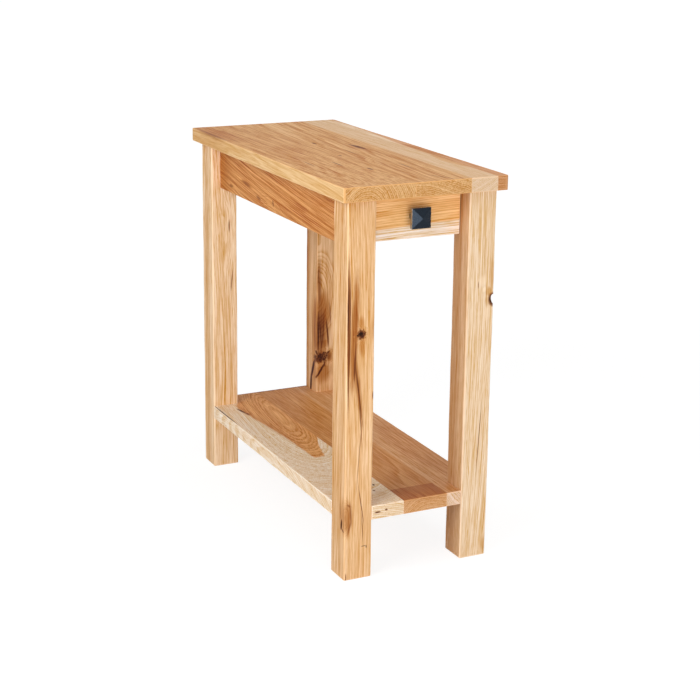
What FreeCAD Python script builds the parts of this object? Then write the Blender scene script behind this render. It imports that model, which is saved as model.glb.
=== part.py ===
import FreeCAD, Part
import os

# A narrow chairside table in solid hickory: four square legs, a glued-up top, a low shelf notched
# round the legs, and one drawer between the front legs on ball-bearing slides.
# Millimetres. The origin is on the floor, under the middle of the top. Front is -Y, left is -X.

# Table top
table_height = 609.6
top_length = 609.6
top_width = 273.05
top_thickness = 22.225
top_overhang_side = 12.7
top_overhang_end = 12.7
top_edge_ease = 1.2
top_crisp_corner_radius = 1.6
top_worn_corner_radius = 5.0
# Where the glue lines lie across the width, from the left edge
top_seam_shares = (0.427, 0.765, 0.93)

# Legs
leg_side = 46.0
leg_arris_radius = 2.4
foot_chamfer = 1.5

# Aprons and their tenons
apron_height = 76.2
apron_thickness = 19.05
apron_setback = 15.875
apron_edge_ease = 1.0
tenon_thickness = 9.5
tenon_top_shoulder = 14.0
tenon_bottom_shoulder = 8.0
front_tenon_length = 22.0
mitre_gap = 1.0
mortise_play = 0.1
mortise_end_gap = 1.0

# Cross rail behind the drawer front, let into the side aprons
cross_rail_width = 50.8
cross_rail_thickness = 12.7
cross_rail_housing = 5.0
cross_rail_setback = 2.0
cross_rail_screw_spacing = 80.0

# Buttons that hold the top down
button_length = 25.0
button_width = 30.0
button_height = 14.0
button_tongue = 6.0
button_tongue_height = 5.5
button_groove_play = 0.8
button_groove_end_room = 5.0
button_groove_roof = 6.5
side_button_inset = 96.1
button_screw_inset = 9.0
top_screw_bite = 12.0

# Shelf
shelf_top_height = 114.3
shelf_thickness = 22.225
shelf_edge_ease = 1.2
shelf_seam_shares = (0.407, 0.71)
dowel_radius = 4.75
dowel_length = 34.0
dowel_spacing = 23.0
dowel_hole_end_gap = 0.8
dowel_end_chamfer = 0.8

# Drawer front
drawer_front_thickness = 19.05
drawer_front_side_gap = 1.2
drawer_front_top_gap = 1.6
drawer_front_bottom_rise = 6.3
drawer_front_ease = 1.0

# Drawer box
box_board_thickness = 12.0
box_rise = 6.0
box_top_gap = 3.6
box_back_room = 46.075
tail_count = 3
tail_slope_share = 0.1667
pin_width_share = 0.22
bottom_panel_thickness = 6.0
bottom_panel_rise = 6.0
bottom_groove_depth = 6.0
bottom_panel_play = 0.5

# Knob
knob_width = 31.75
knob_rim = 6.0
knob_point = 5.0
knob_neck_radius = 6.5
knob_neck_length = 14.5
knob_base_radius = 9.5
knob_base_thickness = 2.5
knob_edge_radius = 0.5
knob_thread_depth = 10.0

# Drawer slides
slide_width = 12.7
slide_height = 35.0
slide_setback = 3.0
slide_back_setback = 4.2
slide_metal = 1.2
cabinet_flange = 9.0
middle_flange = 7.0
ball_radius = 1.5
ball_play = 0.1
ball_count = 7
ball_pitch = 14.0
cage_metal = 0.8
cage_play = 0.5
runner_cage_gap = 0.3
cage_flange = 6.0
cage_end = 8.0
packer_height = 38.1

# Screws
screw_play = 0.05
wood_screw_radius = 2.0
wood_screw_head_radius = 4.0
wood_screw_head_height = 2.4
slide_screw_radius = 1.6
slide_screw_head_radius = 3.0
slide_screw_length = 10.0
packer_screw_bite = 14.925
front_screw_length = 25.0
front_screw_inset = 16.125
knob_screw_radius = 2.0
knob_screw_head_radius = 4.4
knob_screw_head_height = 2.6
screw_slot_width = 1.0
screw_slot_depth = 0.7
screw_point_share = 0.12
# Where the screws lie along the slides and packing strips, from the front end
cabinet_screw_shares = (0.08, 0.5, 0.92)
packer_screw_shares = (0.16, 0.38, 0.84)
drawer_screw_shares = (0.06, 0.44, 0.94)

# One overrun for every cut that passes right through
overrun = 2.0

# How much of an edge's length must lie along an axis, and how far out a slab's rim edges lie
straight_share = 0.999
rim_share = 0.49

# Derived places
half_top_width = top_width / 2
half_top_length = top_length / 2
half_frame_width = half_top_width - top_overhang_side
half_frame_length = half_top_length - top_overhang_end
leg_inner_x = half_frame_width - leg_side
leg_inner_y = half_frame_length - leg_side
under_top = table_height - top_thickness
apron_bottom = under_top - apron_height
side_apron_outer = half_frame_width - apron_setback
side_apron_inner = side_apron_outer - apron_thickness
back_apron_outer = half_frame_length - apron_setback
back_apron_inner = back_apron_outer - apron_thickness
tenon_bottom = apron_bottom + tenon_bottom_shoulder
tenon_top = under_top - tenon_top_shoulder
side_tenon_in = side_apron_inner + (apron_thickness - tenon_thickness) / 2
side_tenon_out = side_tenon_in + tenon_thickness
back_tenon_in = back_apron_inner + (apron_thickness - tenon_thickness) / 2
back_tenon_out = back_tenon_in + tenon_thickness
shelf_bottom = shelf_top_height - shelf_thickness
shelf_middle = shelf_top_height - shelf_thickness / 2

drawer_back_y = -leg_inner_y
cross_rail_front_y = drawer_back_y + cross_rail_setback
cross_rail_back_y = cross_rail_front_y + cross_rail_width
cross_rail_bottom = under_top - cross_rail_thickness
drawer_face_y = drawer_back_y - drawer_front_thickness
drawer_front_top = under_top - drawer_front_top_gap
drawer_front_bottom = apron_bottom + drawer_front_bottom_rise
drawer_front_middle = (drawer_front_top + drawer_front_bottom) / 2
half_drawer_front = leg_inner_x - drawer_front_side_gap
box_outer = leg_inner_x - slide_width
box_inner = box_outer - box_board_thickness
box_front_y = drawer_back_y
box_back_y = back_apron_inner - box_back_room
box_bottom = drawer_front_bottom + box_rise
box_top = cross_rail_bottom - box_top_gap
box_height = box_top - box_bottom
box_middle = (box_bottom + box_top) / 2
slide_front_y = box_front_y + slide_setback
slide_back_y = box_back_y - slide_back_setback
slide_length = slide_back_y - slide_front_y

side_button_spacing = 2 * (leg_inner_y - side_button_inset)
front_screw_spacing = 2 * (box_inner - front_screw_inset)
packer_screw_length = side_apron_inner - leg_inner_x + packer_screw_bite
groove_top = under_top - button_groove_roof
button_tongue_bottom = groove_top - button_tongue_height


def vector(x, y, z):
    return FreeCAD.Vector(x, y, z)


def block(x_span, y_span, z_span):
    """A box between the two values of each span, given in either order."""
    low = vector(min(x_span), min(y_span), min(z_span))
    high = vector(max(x_span), max(y_span), max(z_span))
    size = high - low
    return Part.makeBox(size.x, size.y, size.z, low)


def on_side(side, near, far):
    """A span of x on the left (-1) or right (1), from two distances off the middle plane."""
    return (side * near, side * far)


def plan_prism(points, bottom, top):
    """A prism with a plan outline, standing from bottom to top."""
    corners = [vector(x, y, bottom) for x, y in points]
    outline = Part.makePolygon(corners + corners[:1])
    return Part.Face(outline).extrude(vector(0, 0, top - bottom))


def edges_where(shape, test):
    return [edge for edge in shape.Edges if test(edge)]


def runs_along(edge, axis):
    """True for a straight edge along the axis 'x', 'y' or 'z'."""
    if not isinstance(edge.Curve, Part.Line):
        return False
    along = edge.Vertexes[-1].Point - edge.Vertexes[0].Point
    return abs(getattr(along, axis)) > along.Length * straight_share


def join(shapes):
    return shapes[0].multiFuse(shapes[1:]).removeSplitter()


def cylinder(start, direction, radius, length):
    return Part.makeCylinder(radius, length, start, direction)


def cone(start, direction, start_radius, end_radius, length):
    return Part.makeCone(start_radius, end_radius, length, start, direction)


def cross_slot(seat, direction, head_radius):
    """The cross recess in a screw head, sunk from the seat point along the direction."""
    across = vector(0, 0, 1) if abs(direction.z) < 0.5 else vector(1, 0, 0)
    other = direction.cross(across)
    slots = []
    for arm, thin in ((across, other), (other, across)):
        reach = arm * head_radius + thin * screw_slot_width / 2
        low = seat - reach
        high = seat + reach + direction * screw_slot_depth
        slots.append(block((low.x, high.x), (low.y, high.y), (low.z, high.z)))
    return slots[0].fuse(slots[1])


def flush_screw(seat, direction, radius, head_radius, length):
    """A countersunk screw: its flat head lies in the plane of the seat point."""
    head_depth = head_radius - radius
    point_length = length * screw_point_share
    head = cone(seat, direction, head_radius, radius, head_depth)
    shank = cylinder(seat, direction, radius, length - point_length)
    point_start = seat + direction * (length - point_length)
    point = cone(point_start, direction, radius, radius / 2, point_length)
    screw = join([head, shank, point])
    return screw.cut(cross_slot(seat, direction, head_radius / 2))


def flush_hole(seat, direction, radius, head_radius, length):
    """The countersunk hole for a flush screw, with a small play all round."""
    head_depth = head_radius - radius
    head = cone(seat, direction, head_radius + screw_play, radius + screw_play, head_depth)
    shank = cylinder(seat, direction, radius + screw_play, length + screw_play)
    return head.fuse(shank)


def pan_screw(seat, direction, radius, head_radius, head_height, length):
    """A round-headed screw: the underside of its head lies in the plane of the seat point."""
    head_top = seat - direction * head_height
    head = cylinder(head_top, direction, head_radius, head_height)
    rim = edges_where(head, lambda edge: edge.CenterOfMass.distanceToPoint(head_top) < head_height / 2
                      and edge.Closed)
    head = head.makeFillet(head_height / 2, rim)
    shank = cylinder(seat, direction, radius, length)
    return join([head, shank]).cut(cross_slot(head_top, direction, head_radius / 2))


def straight_hole(seat, direction, radius, length):
    return cylinder(seat, direction, radius + screw_play, length + screw_play)


def eased_slab(half_x, half_y, bottom, top, left_radius, right_radius, ease):
    """A flat slab with rounded corners, its upper and lower edges eased."""
    slab = block((-half_x, half_x), (-half_y, half_y), (bottom, top))
    for side, radius in ((-1, left_radius), (1, right_radius)):
        corners = edges_where(slab, lambda edge: runs_along(edge, "z")
                              and edge.CenterOfMass.x * side > half_x - radius / 2)
        slab = slab.makeFillet(radius, corners)
    middle = (bottom + top) / 2
    rims = edges_where(slab, lambda edge: abs(edge.CenterOfMass.z - middle) > (top - bottom) * rim_share)
    return slab.makeFillet(ease, rims)


def seam_places(half_width, shares):
    """The x of each glue line, with the two outer edges first and last."""
    return [-half_width] + [half_width * (2 * share - 1) for share in shares] + [half_width]


def boards_of(slab, places, half_length, bottom, top):
    """The slab split along its glue lines into separate boards."""
    boards = []
    for left, right in zip(places[:-1], places[1:]):
        strip = block((left, right), (-half_length, half_length), (bottom, top))
        boards.append(slab.common(strip))
    return boards


def screw_into_top(side_x, y, seat_z, flush):
    """A screw that goes up through a button or rail into the top, and its hole."""
    seat = vector(side_x, y, seat_z)
    up = vector(0, 0, 1)
    length = under_top - seat_z + top_screw_bite
    if flush:
        screw = flush_screw(seat, up, wood_screw_radius, wood_screw_head_radius, length)
        hole = flush_hole(seat, up, wood_screw_radius, wood_screw_head_radius, length)
    else:
        screw = pan_screw(seat, up, wood_screw_radius, wood_screw_head_radius,
                          wood_screw_head_height, length)
        hole = straight_hole(seat, up, wood_screw_radius, length)
    return screw, hole


def button_and_groove(back_plane, reach_direction, along):
    """A button against an apron's inner face at the origin, in a frame turned to the apron.

    back_plane is the point on the inner face under the top; reach_direction points into the table and
    along runs beside the apron. Returns the button and the groove that its tongue enters.
    """
    half = along * (button_width / 2)
    body_bottom = under_top - button_height
    inner = back_plane + reach_direction * button_length
    body_low = back_plane - half
    body_high = inner + half
    body = block((body_low.x, body_high.x), (body_low.y, body_high.y), (body_bottom, under_top))
    tongue_low = back_plane - reach_direction * button_tongue - half
    tongue_high = back_plane + half
    tongue = block((tongue_low.x, tongue_high.x), (tongue_low.y, tongue_high.y),
                   (button_tongue_bottom, groove_top))
    room = along * (button_width / 2 + button_groove_end_room)
    groove_low = back_plane - reach_direction * (button_tongue + button_groove_play) - room
    groove_high = back_plane + reach_direction * overrun + room
    groove = block((groove_low.x, groove_high.x), (groove_low.y, groove_high.y),
                   (button_tongue_bottom - button_groove_play, groove_top))
    return join([body, tongue]), groove


# Screws and buttons that hold the top
top_buttons = []
top_button_screws = []
top_holes = []
button_grooves = []
button_places = []
for side in (-1, 1):
    for end in (-1, 1):
        place = vector(side * side_apron_inner, end * side_button_spacing / 2, under_top)
        button_places.append((place, vector(-side, 0, 0), vector(0, 1, 0)))
button_places.append((vector(0, back_apron_inner, under_top), vector(0, -1, 0), vector(1, 0, 0)))
for place, reach_direction, along in button_places:
    button, groove = button_and_groove(place, reach_direction, along)
    screw_at = place + reach_direction * button_screw_inset
    screw, hole = screw_into_top(screw_at.x, screw_at.y, under_top - button_height, False)
    top_buttons.append(button.cut(hole))
    top_button_screws.append(screw)
    top_holes.append(hole)
    button_grooves.append(groove)

cross_rail_screws = []
cross_rail_holes = []
cross_rail_middle_y = (cross_rail_front_y + cross_rail_back_y) / 2
for side in (-1, 1):
    screw, hole = screw_into_top(side * cross_rail_screw_spacing / 2, cross_rail_middle_y,
                                 cross_rail_bottom, True)
    cross_rail_screws.append(screw)
    cross_rail_holes.append(hole)
top_holes += cross_rail_holes

# Table top boards
top_slab = eased_slab(half_top_width, half_top_length, under_top, table_height,
                      top_crisp_corner_radius, top_worn_corner_radius, top_edge_ease)
for hole in top_holes:
    top_slab = top_slab.cut(hole)
top_boards = boards_of(top_slab, seam_places(half_top_width, top_seam_shares), half_top_length,
                       under_top, table_height)


# Side aprons
def side_apron(side):
    """An apron between a front and a back leg, with a stub tenon each end; the back one is mitred."""
    body = block(on_side(side, side_apron_inner, side_apron_outer), (-leg_inner_y, leg_inner_y),
                 (apron_bottom, under_top))
    lower = edges_where(body, lambda edge: runs_along(edge, "y")
                        and edge.CenterOfMass.z < apron_bottom + apron_edge_ease)
    body = body.makeChamfer(apron_edge_ease, lower)
    front_tenon = block(on_side(side, side_tenon_in, side_tenon_out),
                        (-leg_inner_y - front_tenon_length, -leg_inner_y), (tenon_bottom, tenon_top))
    back_outline = [
        (side * side_tenon_in, leg_inner_y),
        (side * side_tenon_in, back_tenon_in - mitre_gap),
        (side * side_tenon_out, back_tenon_out - mitre_gap),
        (side * side_tenon_out, leg_inner_y),
    ]
    back_tenon = plan_prism(back_outline, tenon_bottom, tenon_top)
    apron = join([body, front_tenon, back_tenon])
    housing = block(on_side(side, side_apron_inner - overrun, side_apron_inner + cross_rail_housing),
                    (cross_rail_front_y, cross_rail_back_y), (cross_rail_bottom, under_top + overrun))
    apron = apron.cut(housing)
    for groove in button_grooves:
        apron = apron.cut(groove)
    return apron


def back_apron_board():
    """The apron between the back legs, with a mitred tenon each end."""
    body = block((-leg_inner_x, leg_inner_x), (back_apron_inner, back_apron_outer),
                 (apron_bottom, under_top))
    lower = edges_where(body, lambda edge: runs_along(edge, "x")
                        and edge.CenterOfMass.z < apron_bottom + apron_edge_ease)
    body = body.makeChamfer(apron_edge_ease, lower)
    pieces = [body]
    for side in (-1, 1):
        outline = [
            (side * leg_inner_x, back_tenon_in),
            (side * (side_tenon_in - mitre_gap), back_tenon_in),
            (side * (side_tenon_out - mitre_gap), back_tenon_out),
            (side * leg_inner_x, back_tenon_out),
        ]
        pieces.append(plan_prism(outline, tenon_bottom, tenon_top))
    apron = join(pieces)
    for groove in button_grooves:
        apron = apron.cut(groove)
    return apron


side_aprons = {-1: side_apron(-1), 1: side_apron(1)}
back_apron = back_apron_board()

# Cross rail
half_cross_rail = side_apron_inner + cross_rail_housing
cross_rail = block((-half_cross_rail, half_cross_rail), (cross_rail_front_y, cross_rail_back_y),
                   (cross_rail_bottom, under_top))
for hole in cross_rail_holes:
    cross_rail = cross_rail.cut(hole)


# Shelf dowels, laid along X between the shelf's tongues and the legs
def shelf_dowel(side, end, offset):
    middle_y = end * (half_frame_length - leg_side / 2) + offset
    start = vector(side * (leg_inner_x - dowel_length / 2), middle_y, shelf_middle)
    outward = vector(side, 0, 0)
    dowel = cylinder(start, outward, dowel_radius, dowel_length)
    dowel = dowel.makeChamfer(dowel_end_chamfer, edges_where(dowel, lambda edge: edge.Closed))
    hole_start = start - outward * dowel_hole_end_gap
    hole = cylinder(hole_start, outward, dowel_radius + screw_play,
                    dowel_length + 2 * dowel_hole_end_gap)
    return dowel, hole


shelf_dowels = []
dowel_holes = []
for side in (-1, 1):
    for end in (-1, 1):
        for offset in (-dowel_spacing / 2, dowel_spacing / 2):
            dowel, hole = shelf_dowel(side, end, offset)
            shelf_dowels.append(dowel)
            dowel_holes.append(hole)


# Legs
def leg(side, end):
    """A square leg with eased arrises, mortised for the aprons and bored for the shelf dowels."""
    post = block(on_side(side, leg_inner_x, half_frame_width), on_side(end, leg_inner_y, half_frame_length),
                 (0, under_top))
    post = post.makeFillet(leg_arris_radius, edges_where(post, lambda edge: runs_along(edge, "z")))
    post = post.makeChamfer(foot_chamfer, edges_where(post, lambda edge: edge.CenterOfMass.z < foot_chamfer))
    z_span = (tenon_bottom - mortise_play, tenon_top + mortise_play)
    side_x = on_side(side, side_tenon_in - mortise_play, side_tenon_out + mortise_play)
    back_depth = back_tenon_out + mortise_end_gap
    front_depth = leg_inner_y + front_tenon_length + mortise_end_gap
    depth = back_depth if end > 0 else front_depth
    post = post.cut(block(side_x, on_side(end, leg_inner_y - overrun, depth), z_span))
    if end > 0:
        back_y = (back_tenon_in - mortise_play, back_tenon_out + mortise_play)
        side_depth = side_tenon_out + mortise_end_gap
        post = post.cut(block(on_side(side, leg_inner_x - overrun, side_depth), back_y, z_span))
    for hole in dowel_holes:
        post = post.cut(hole)
    return post


# Shelf boards
shelf_slab = eased_slab(half_frame_width, half_frame_length, shelf_bottom, shelf_top_height,
                        leg_arris_radius, leg_arris_radius, shelf_edge_ease)
for side in (-1, 1):
    for end in (-1, 1):
        notch = block(on_side(side, leg_inner_x, half_frame_width + overrun),
                      on_side(end, leg_inner_y, half_frame_length + overrun),
                      (shelf_bottom - overrun, shelf_top_height + overrun))
        shelf_slab = shelf_slab.cut(notch)
for hole in dowel_holes:
    shelf_slab = shelf_slab.cut(hole)
shelf_boards = boards_of(shelf_slab, seam_places(half_frame_width, shelf_seam_shares),
                         half_frame_length, shelf_bottom, shelf_top_height)


# Drawer box
def dovetails(side, y_end, into_box):
    """The corner block of the drawer box at one end of a side, and the tails that fill part of it.

    y_end is the outer end of the side; into_box is 1 where the box lies towards +Y, else -1. Each tail
    is widest at the end of the side and narrows towards the shoulder.
    """
    shoulder = y_end + into_box * box_board_thickness
    x_span = on_side(side, box_inner, box_outer)
    corner = block(x_span, (y_end, shoulder), (box_bottom, box_top))
    pitch = box_height / tail_count
    half_end = pitch * (1 - pin_width_share) / 2
    half_shoulder = half_end - box_board_thickness * tail_slope_share
    tails = []
    for index in range(tail_count):
        middle = box_bottom + pitch * (index + 0.5)
        outline = [
            vector(x_span[0], y_end, middle - half_end),
            vector(x_span[0], y_end, middle + half_end),
            vector(x_span[0], shoulder, middle + half_shoulder),
            vector(x_span[0], shoulder, middle - half_shoulder),
        ]
        face = Part.Face(Part.makePolygon(outline + outline[:1]))
        tails.append(face.extrude(vector(x_span[1] - x_span[0], 0, 0)))
    return corner, Part.makeCompound(tails)


bottom_low = box_bottom + bottom_panel_rise
bottom_high = bottom_low + bottom_panel_thickness
groove_reach = box_inner + bottom_groove_depth
groove_front_y = box_front_y + box_board_thickness - bottom_groove_depth
groove_back_y = box_back_y - box_board_thickness + bottom_groove_depth
bottom_groove = block((-groove_reach, groove_reach), (groove_front_y, groove_back_y),
                      (bottom_low, bottom_high))
drawer_bottom = block((-groove_reach + bottom_panel_play, groove_reach - bottom_panel_play),
                      (groove_front_y + bottom_panel_play, groove_back_y - bottom_panel_play),
                      (bottom_low, bottom_high))

drawer_sides = {}
box_front = block((-box_outer, box_outer), (box_front_y, box_front_y + box_board_thickness),
                  (box_bottom, box_top))
box_back = block((-box_outer, box_outer), (box_back_y - box_board_thickness, box_back_y),
                 (box_bottom, box_top))
for side in (-1, 1):
    front_corner, front_tails = dovetails(side, box_front_y, 1)
    back_corner, back_tails = dovetails(side, box_back_y, -1)
    board = block(on_side(side, box_inner, box_outer), (box_front_y, box_back_y), (box_bottom, box_top))
    board = board.cut(front_corner.cut(front_tails))
    board = board.cut(back_corner.cut(back_tails))
    drawer_sides[side] = board.cut(bottom_groove)
    box_front = box_front.cut(front_tails)
    box_back = box_back.cut(back_tails)
box_front = box_front.cut(bottom_groove)
box_back = box_back.cut(bottom_groove)

# Drawer front, its screws, and the knob with its screw
drawer_front = block((-half_drawer_front, half_drawer_front), (drawer_face_y, drawer_back_y),
                     (drawer_front_bottom, drawer_front_top))
face_edges = edges_where(drawer_front, lambda edge: edge.CenterOfMass.y < drawer_face_y + drawer_front_ease)
drawer_front = drawer_front.makeFillet(drawer_front_ease, face_edges)
box_front_inner_y = box_front_y + box_board_thickness
forward = vector(0, -1, 0)
front_screws = []
for side in (-1, 1):
    seat = vector(side * front_screw_spacing / 2, box_front_inner_y, box_middle)
    front_screws.append(flush_screw(seat, forward, wood_screw_radius, wood_screw_head_radius,
                                    front_screw_length))
    hole = flush_hole(seat, forward, wood_screw_radius, wood_screw_head_radius, front_screw_length)
    drawer_front = drawer_front.cut(hole)
    box_front = box_front.cut(hole)
knob_screw_length = box_board_thickness + drawer_front_thickness + knob_thread_depth
knob_seat = vector(0, box_front_inner_y, drawer_front_middle)
knob_screw = pan_screw(knob_seat, forward, knob_screw_radius, knob_screw_head_radius,
                       knob_screw_head_height, knob_screw_length)
knob_hole = straight_hole(knob_seat, forward, knob_screw_radius, knob_screw_length)
drawer_front = drawer_front.cut(knob_hole)
box_front = box_front.cut(knob_hole)


def pyramid_knob():
    """A square plate with a low pyramid face on a round neck that flares to a base."""
    root = vector(0, drawer_face_y, drawer_front_middle)
    base = cylinder(root, forward, knob_base_radius, knob_base_thickness)
    neck = cylinder(root, forward, knob_neck_radius, knob_neck_length)
    half = knob_width / 2
    back_y = drawer_face_y - knob_neck_length
    rim_y = back_y - knob_rim
    plate = block((-half, half), (back_y, rim_y), (drawer_front_middle - half, drawer_front_middle + half))
    corners = [
        vector(-half, rim_y, drawer_front_middle - half),
        vector(half, rim_y, drawer_front_middle - half),
        vector(half, rim_y, drawer_front_middle + half),
        vector(-half, rim_y, drawer_front_middle + half),
    ]
    apex = vector(0, rim_y - knob_point, drawer_front_middle)
    faces = [Part.Face(Part.makePolygon(corners + corners[:1]))]
    for first, second in zip(corners, corners[1:] + corners[:1]):
        faces.append(Part.Face(Part.makePolygon([first, second, apex, first])))
    pyramid = Part.Solid(Part.Shell(faces))
    head = join([plate, pyramid])
    head = head.makeFillet(knob_edge_radius, head.Edges)
    return join([head, neck, base]).cut(knob_hole)


knob = pyramid_knob()


# Drawer slides. A slide's section is drawn in two distances: across, from the packing strip's face
# towards the drawer, and up, from the slide's middle height.
def slide_bar(side, outline, start_y, end_y):
    """A bar along Y with the given section, on the left or right of the drawer."""
    corners = [vector(side * (leg_inner_x - across), start_y, box_middle + up) for across, up in outline]
    face = Part.Face(Part.makePolygon(corners + corners[:1]))
    return face.extrude(vector(0, end_y - start_y, 0))


def channel_outline(web_at, metal, flange, half_height, opens):
    """The section of a channel: a web, and two flanges that reach from it the way that it opens."""
    outer = web_at
    inner = web_at + opens * metal
    tip = web_at + opens * flange
    half_inside = half_height - metal
    return [
        (outer, -half_height),
        (tip, -half_height),
        (tip, -half_inside),
        (inner, -half_inside),
        (inner, half_inside),
        (tip, half_inside),
        (tip, half_height),
        (outer, half_height),
    ]


ball_room = 2 * (ball_radius + ball_play)
cabinet_half = slide_height / 2
middle_half = cabinet_half - slide_metal - ball_room
drawer_half = middle_half - slide_metal - ball_room
outer_ball_up = cabinet_half - slide_metal - ball_room / 2
inner_ball_up = middle_half - slide_metal - ball_room / 2
outer_cage_at = slide_metal + cage_play
middle_web_offset = outer_cage_at + cage_metal + cage_play
inner_cage_at = middle_web_offset + slide_metal + cage_play
drawer_flange = slide_width - inner_cage_at - cage_metal - runner_cage_gap
cage_length = (ball_count - 1) * ball_pitch + 2 * cage_end


def slide_screw_set(side, web_face, direction, shares):
    """Countersunk screws along a slide member, each with its head flush with the web's inner face."""
    screws = []
    holes = []
    for share in shares:
        seat = vector(web_face, slide_front_y + slide_length * share, box_middle)
        screws.append(flush_screw(seat, direction, slide_screw_radius, slide_screw_head_radius,
                                  slide_screw_length))
        holes.append(flush_hole(seat, direction, slide_screw_radius, slide_screw_head_radius,
                                slide_screw_length))
    return screws, holes


def cage_and_balls(side, cage_at, ball_up):
    """A ball cage with a row of holes in each flange, and the balls that sit in them."""
    start_y = (slide_front_y + slide_back_y - cage_length) / 2
    outline = channel_outline(cage_at, cage_metal, cage_flange, ball_up + cage_metal / 2, 1)
    cage = slide_bar(side, outline, start_y, start_y + cage_length)
    middle_across = cage_at + (cage_metal + cage_flange) / 2
    x = side * (leg_inner_x - middle_across)
    balls = []
    for row in (-1, 1):
        for index in range(ball_count):
            y = start_y + cage_end + index * ball_pitch
            z = box_middle + row * ball_up
            balls.append(Part.makeSphere(ball_radius, vector(x, y, z)))
            hole_start = vector(x, y, z - cage_metal)
            cage = cage.cut(cylinder(hole_start, vector(0, 0, 1), ball_radius + ball_play, 2 * cage_metal))
    return cage, balls


def drawer_slide(side):
    """All the pieces of one slide, its packing strip and its screws, by name."""
    cabinet = slide_bar(side, channel_outline(0, slide_metal, cabinet_flange, cabinet_half, 1),
                        slide_front_y, slide_back_y)
    middle = slide_bar(side, channel_outline(middle_web_offset, slide_metal, middle_flange, middle_half, 1),
                       slide_front_y, slide_back_y)
    runner = slide_bar(side, channel_outline(slide_width, slide_metal, drawer_flange, drawer_half, -1),
                       slide_front_y, slide_back_y)
    outward = vector(side, 0, 0)
    inward = vector(-side, 0, 0)
    packer = block(on_side(side, leg_inner_x, side_apron_inner), (-leg_inner_y, leg_inner_y),
                   (box_middle - packer_height / 2, box_middle + packer_height / 2))
    cabinet_screws, cabinet_holes = slide_screw_set(side, side * (leg_inner_x - slide_metal), outward,
                                                    cabinet_screw_shares)
    drawer_screws, drawer_holes = slide_screw_set(side, side * (box_outer + slide_metal), inward,
                                                  drawer_screw_shares)
    packer_screws = []
    packer_holes = []
    for share in packer_screw_shares:
        seat = vector(side * leg_inner_x, slide_front_y + slide_length * share, box_middle)
        packer_screws.append(flush_screw(seat, outward, wood_screw_radius, wood_screw_head_radius,
                                         packer_screw_length))
        packer_holes.append(flush_hole(seat, outward, wood_screw_radius, wood_screw_head_radius,
                                       packer_screw_length))
    for hole in cabinet_holes:
        cabinet = cabinet.cut(hole)
    for hole in cabinet_holes + packer_holes:
        packer = packer.cut(hole)
        side_aprons[side] = side_aprons[side].cut(hole)
    for hole in drawer_holes:
        runner = runner.cut(hole)
        drawer_sides[side] = drawer_sides[side].cut(hole)
    outer_cage, outer_balls = cage_and_balls(side, outer_cage_at, outer_ball_up)
    inner_cage, inner_balls = cage_and_balls(side, inner_cage_at, inner_ball_up)
    return {
        "slide_cabinet_member": [cabinet],
        "slide_middle_member": [middle],
        "slide_drawer_member": [runner],
        "slide_outer_cage": [outer_cage],
        "slide_outer_balls": outer_balls,
        "slide_inner_cage": [inner_cage],
        "slide_inner_balls": inner_balls,
        "slide_packing_strip": [packer],
        "packing_strip_screws": packer_screws,
        "cabinet_member_screws": cabinet_screws,
        "drawer_member_screws": drawer_screws,
    }


side_names = {-1: "left", 1: "right"}
end_names = {-1: "front", 1: "back"}

nodes = {}
for name, board in zip(("left", "centre", "sapwood", "right"), top_boards):
    nodes["top_board_" + name] = [board]
for name, board in zip(("left", "middle", "right"), shelf_boards):
    nodes["shelf_board_" + name] = [board]
for end in (-1, 1):
    for side in (-1, 1):
        nodes["leg_" + end_names[end] + "_" + side_names[side]] = [leg(side, end)]
for side in (-1, 1):
    for name, solids in drawer_slide(side).items():
        nodes[name + "_" + side_names[side]] = solids
for side in (-1, 1):
    nodes["side_apron_" + side_names[side]] = [side_aprons[side]]
    nodes["drawer_side_" + side_names[side]] = [drawer_sides[side]]
nodes["back_apron"] = [back_apron]
nodes["front_cross_rail"] = [cross_rail]
nodes["cross_rail_screws"] = cross_rail_screws
nodes["top_buttons"] = top_buttons
nodes["top_button_screws"] = top_button_screws
nodes["shelf_dowels"] = shelf_dowels
nodes["drawer_front"] = [drawer_front]
nodes["drawer_box_front"] = [box_front]
nodes["drawer_box_back"] = [box_back]
nodes["drawer_bottom"] = [drawer_bottom]
nodes["drawer_front_screws"] = front_screws
nodes["knob"] = [knob]
nodes["knob_screw"] = [knob_screw]

os.makedirs("parts", exist_ok=True)
for name, shapes in nodes.items():
    solids = [solid for shape in shapes for solid in shape.Solids]
    shape = solids[0] if len(solids) == 1 else Part.makeCompound(solids)
    shape.exportStep("parts/" + name + ".step")
    print(name, len(solids), round(shape.Volume, 1), shape.isValid())
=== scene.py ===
"""A narrow rustic hickory chairside table, dressed in knotty satin wood, dark iron and plated steel.

The frame gives every piece's size and place. The top boards, legs, shelf boards, drawer front and knob are
made again here as worn surfaces, and the other pieces of the frame get their materials. Lengths in the
functions are in millimetres unless a comment says otherwise.
"""
import math
from collections import namedtuple

import bpy
import numpy as np
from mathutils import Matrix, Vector


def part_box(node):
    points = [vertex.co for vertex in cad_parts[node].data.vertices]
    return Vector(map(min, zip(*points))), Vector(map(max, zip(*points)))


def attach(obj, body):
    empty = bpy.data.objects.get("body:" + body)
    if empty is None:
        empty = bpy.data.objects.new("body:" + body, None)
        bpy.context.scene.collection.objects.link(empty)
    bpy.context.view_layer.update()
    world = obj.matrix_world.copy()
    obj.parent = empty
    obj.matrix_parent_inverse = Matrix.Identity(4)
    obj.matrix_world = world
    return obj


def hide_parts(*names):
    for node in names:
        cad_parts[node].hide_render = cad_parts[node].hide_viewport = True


bl_info = {
    "name": "Rustic hickory table",
    "version": (1, 0, 0),
    "blender": (4, 5, 0),
    "location": "3D View > Sidebar > Hickory Table",
    "description": "Dresses the frame of a narrow hickory table in worn wood, dark iron and plated steel",
    "category": "Add Mesh",
}

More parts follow.
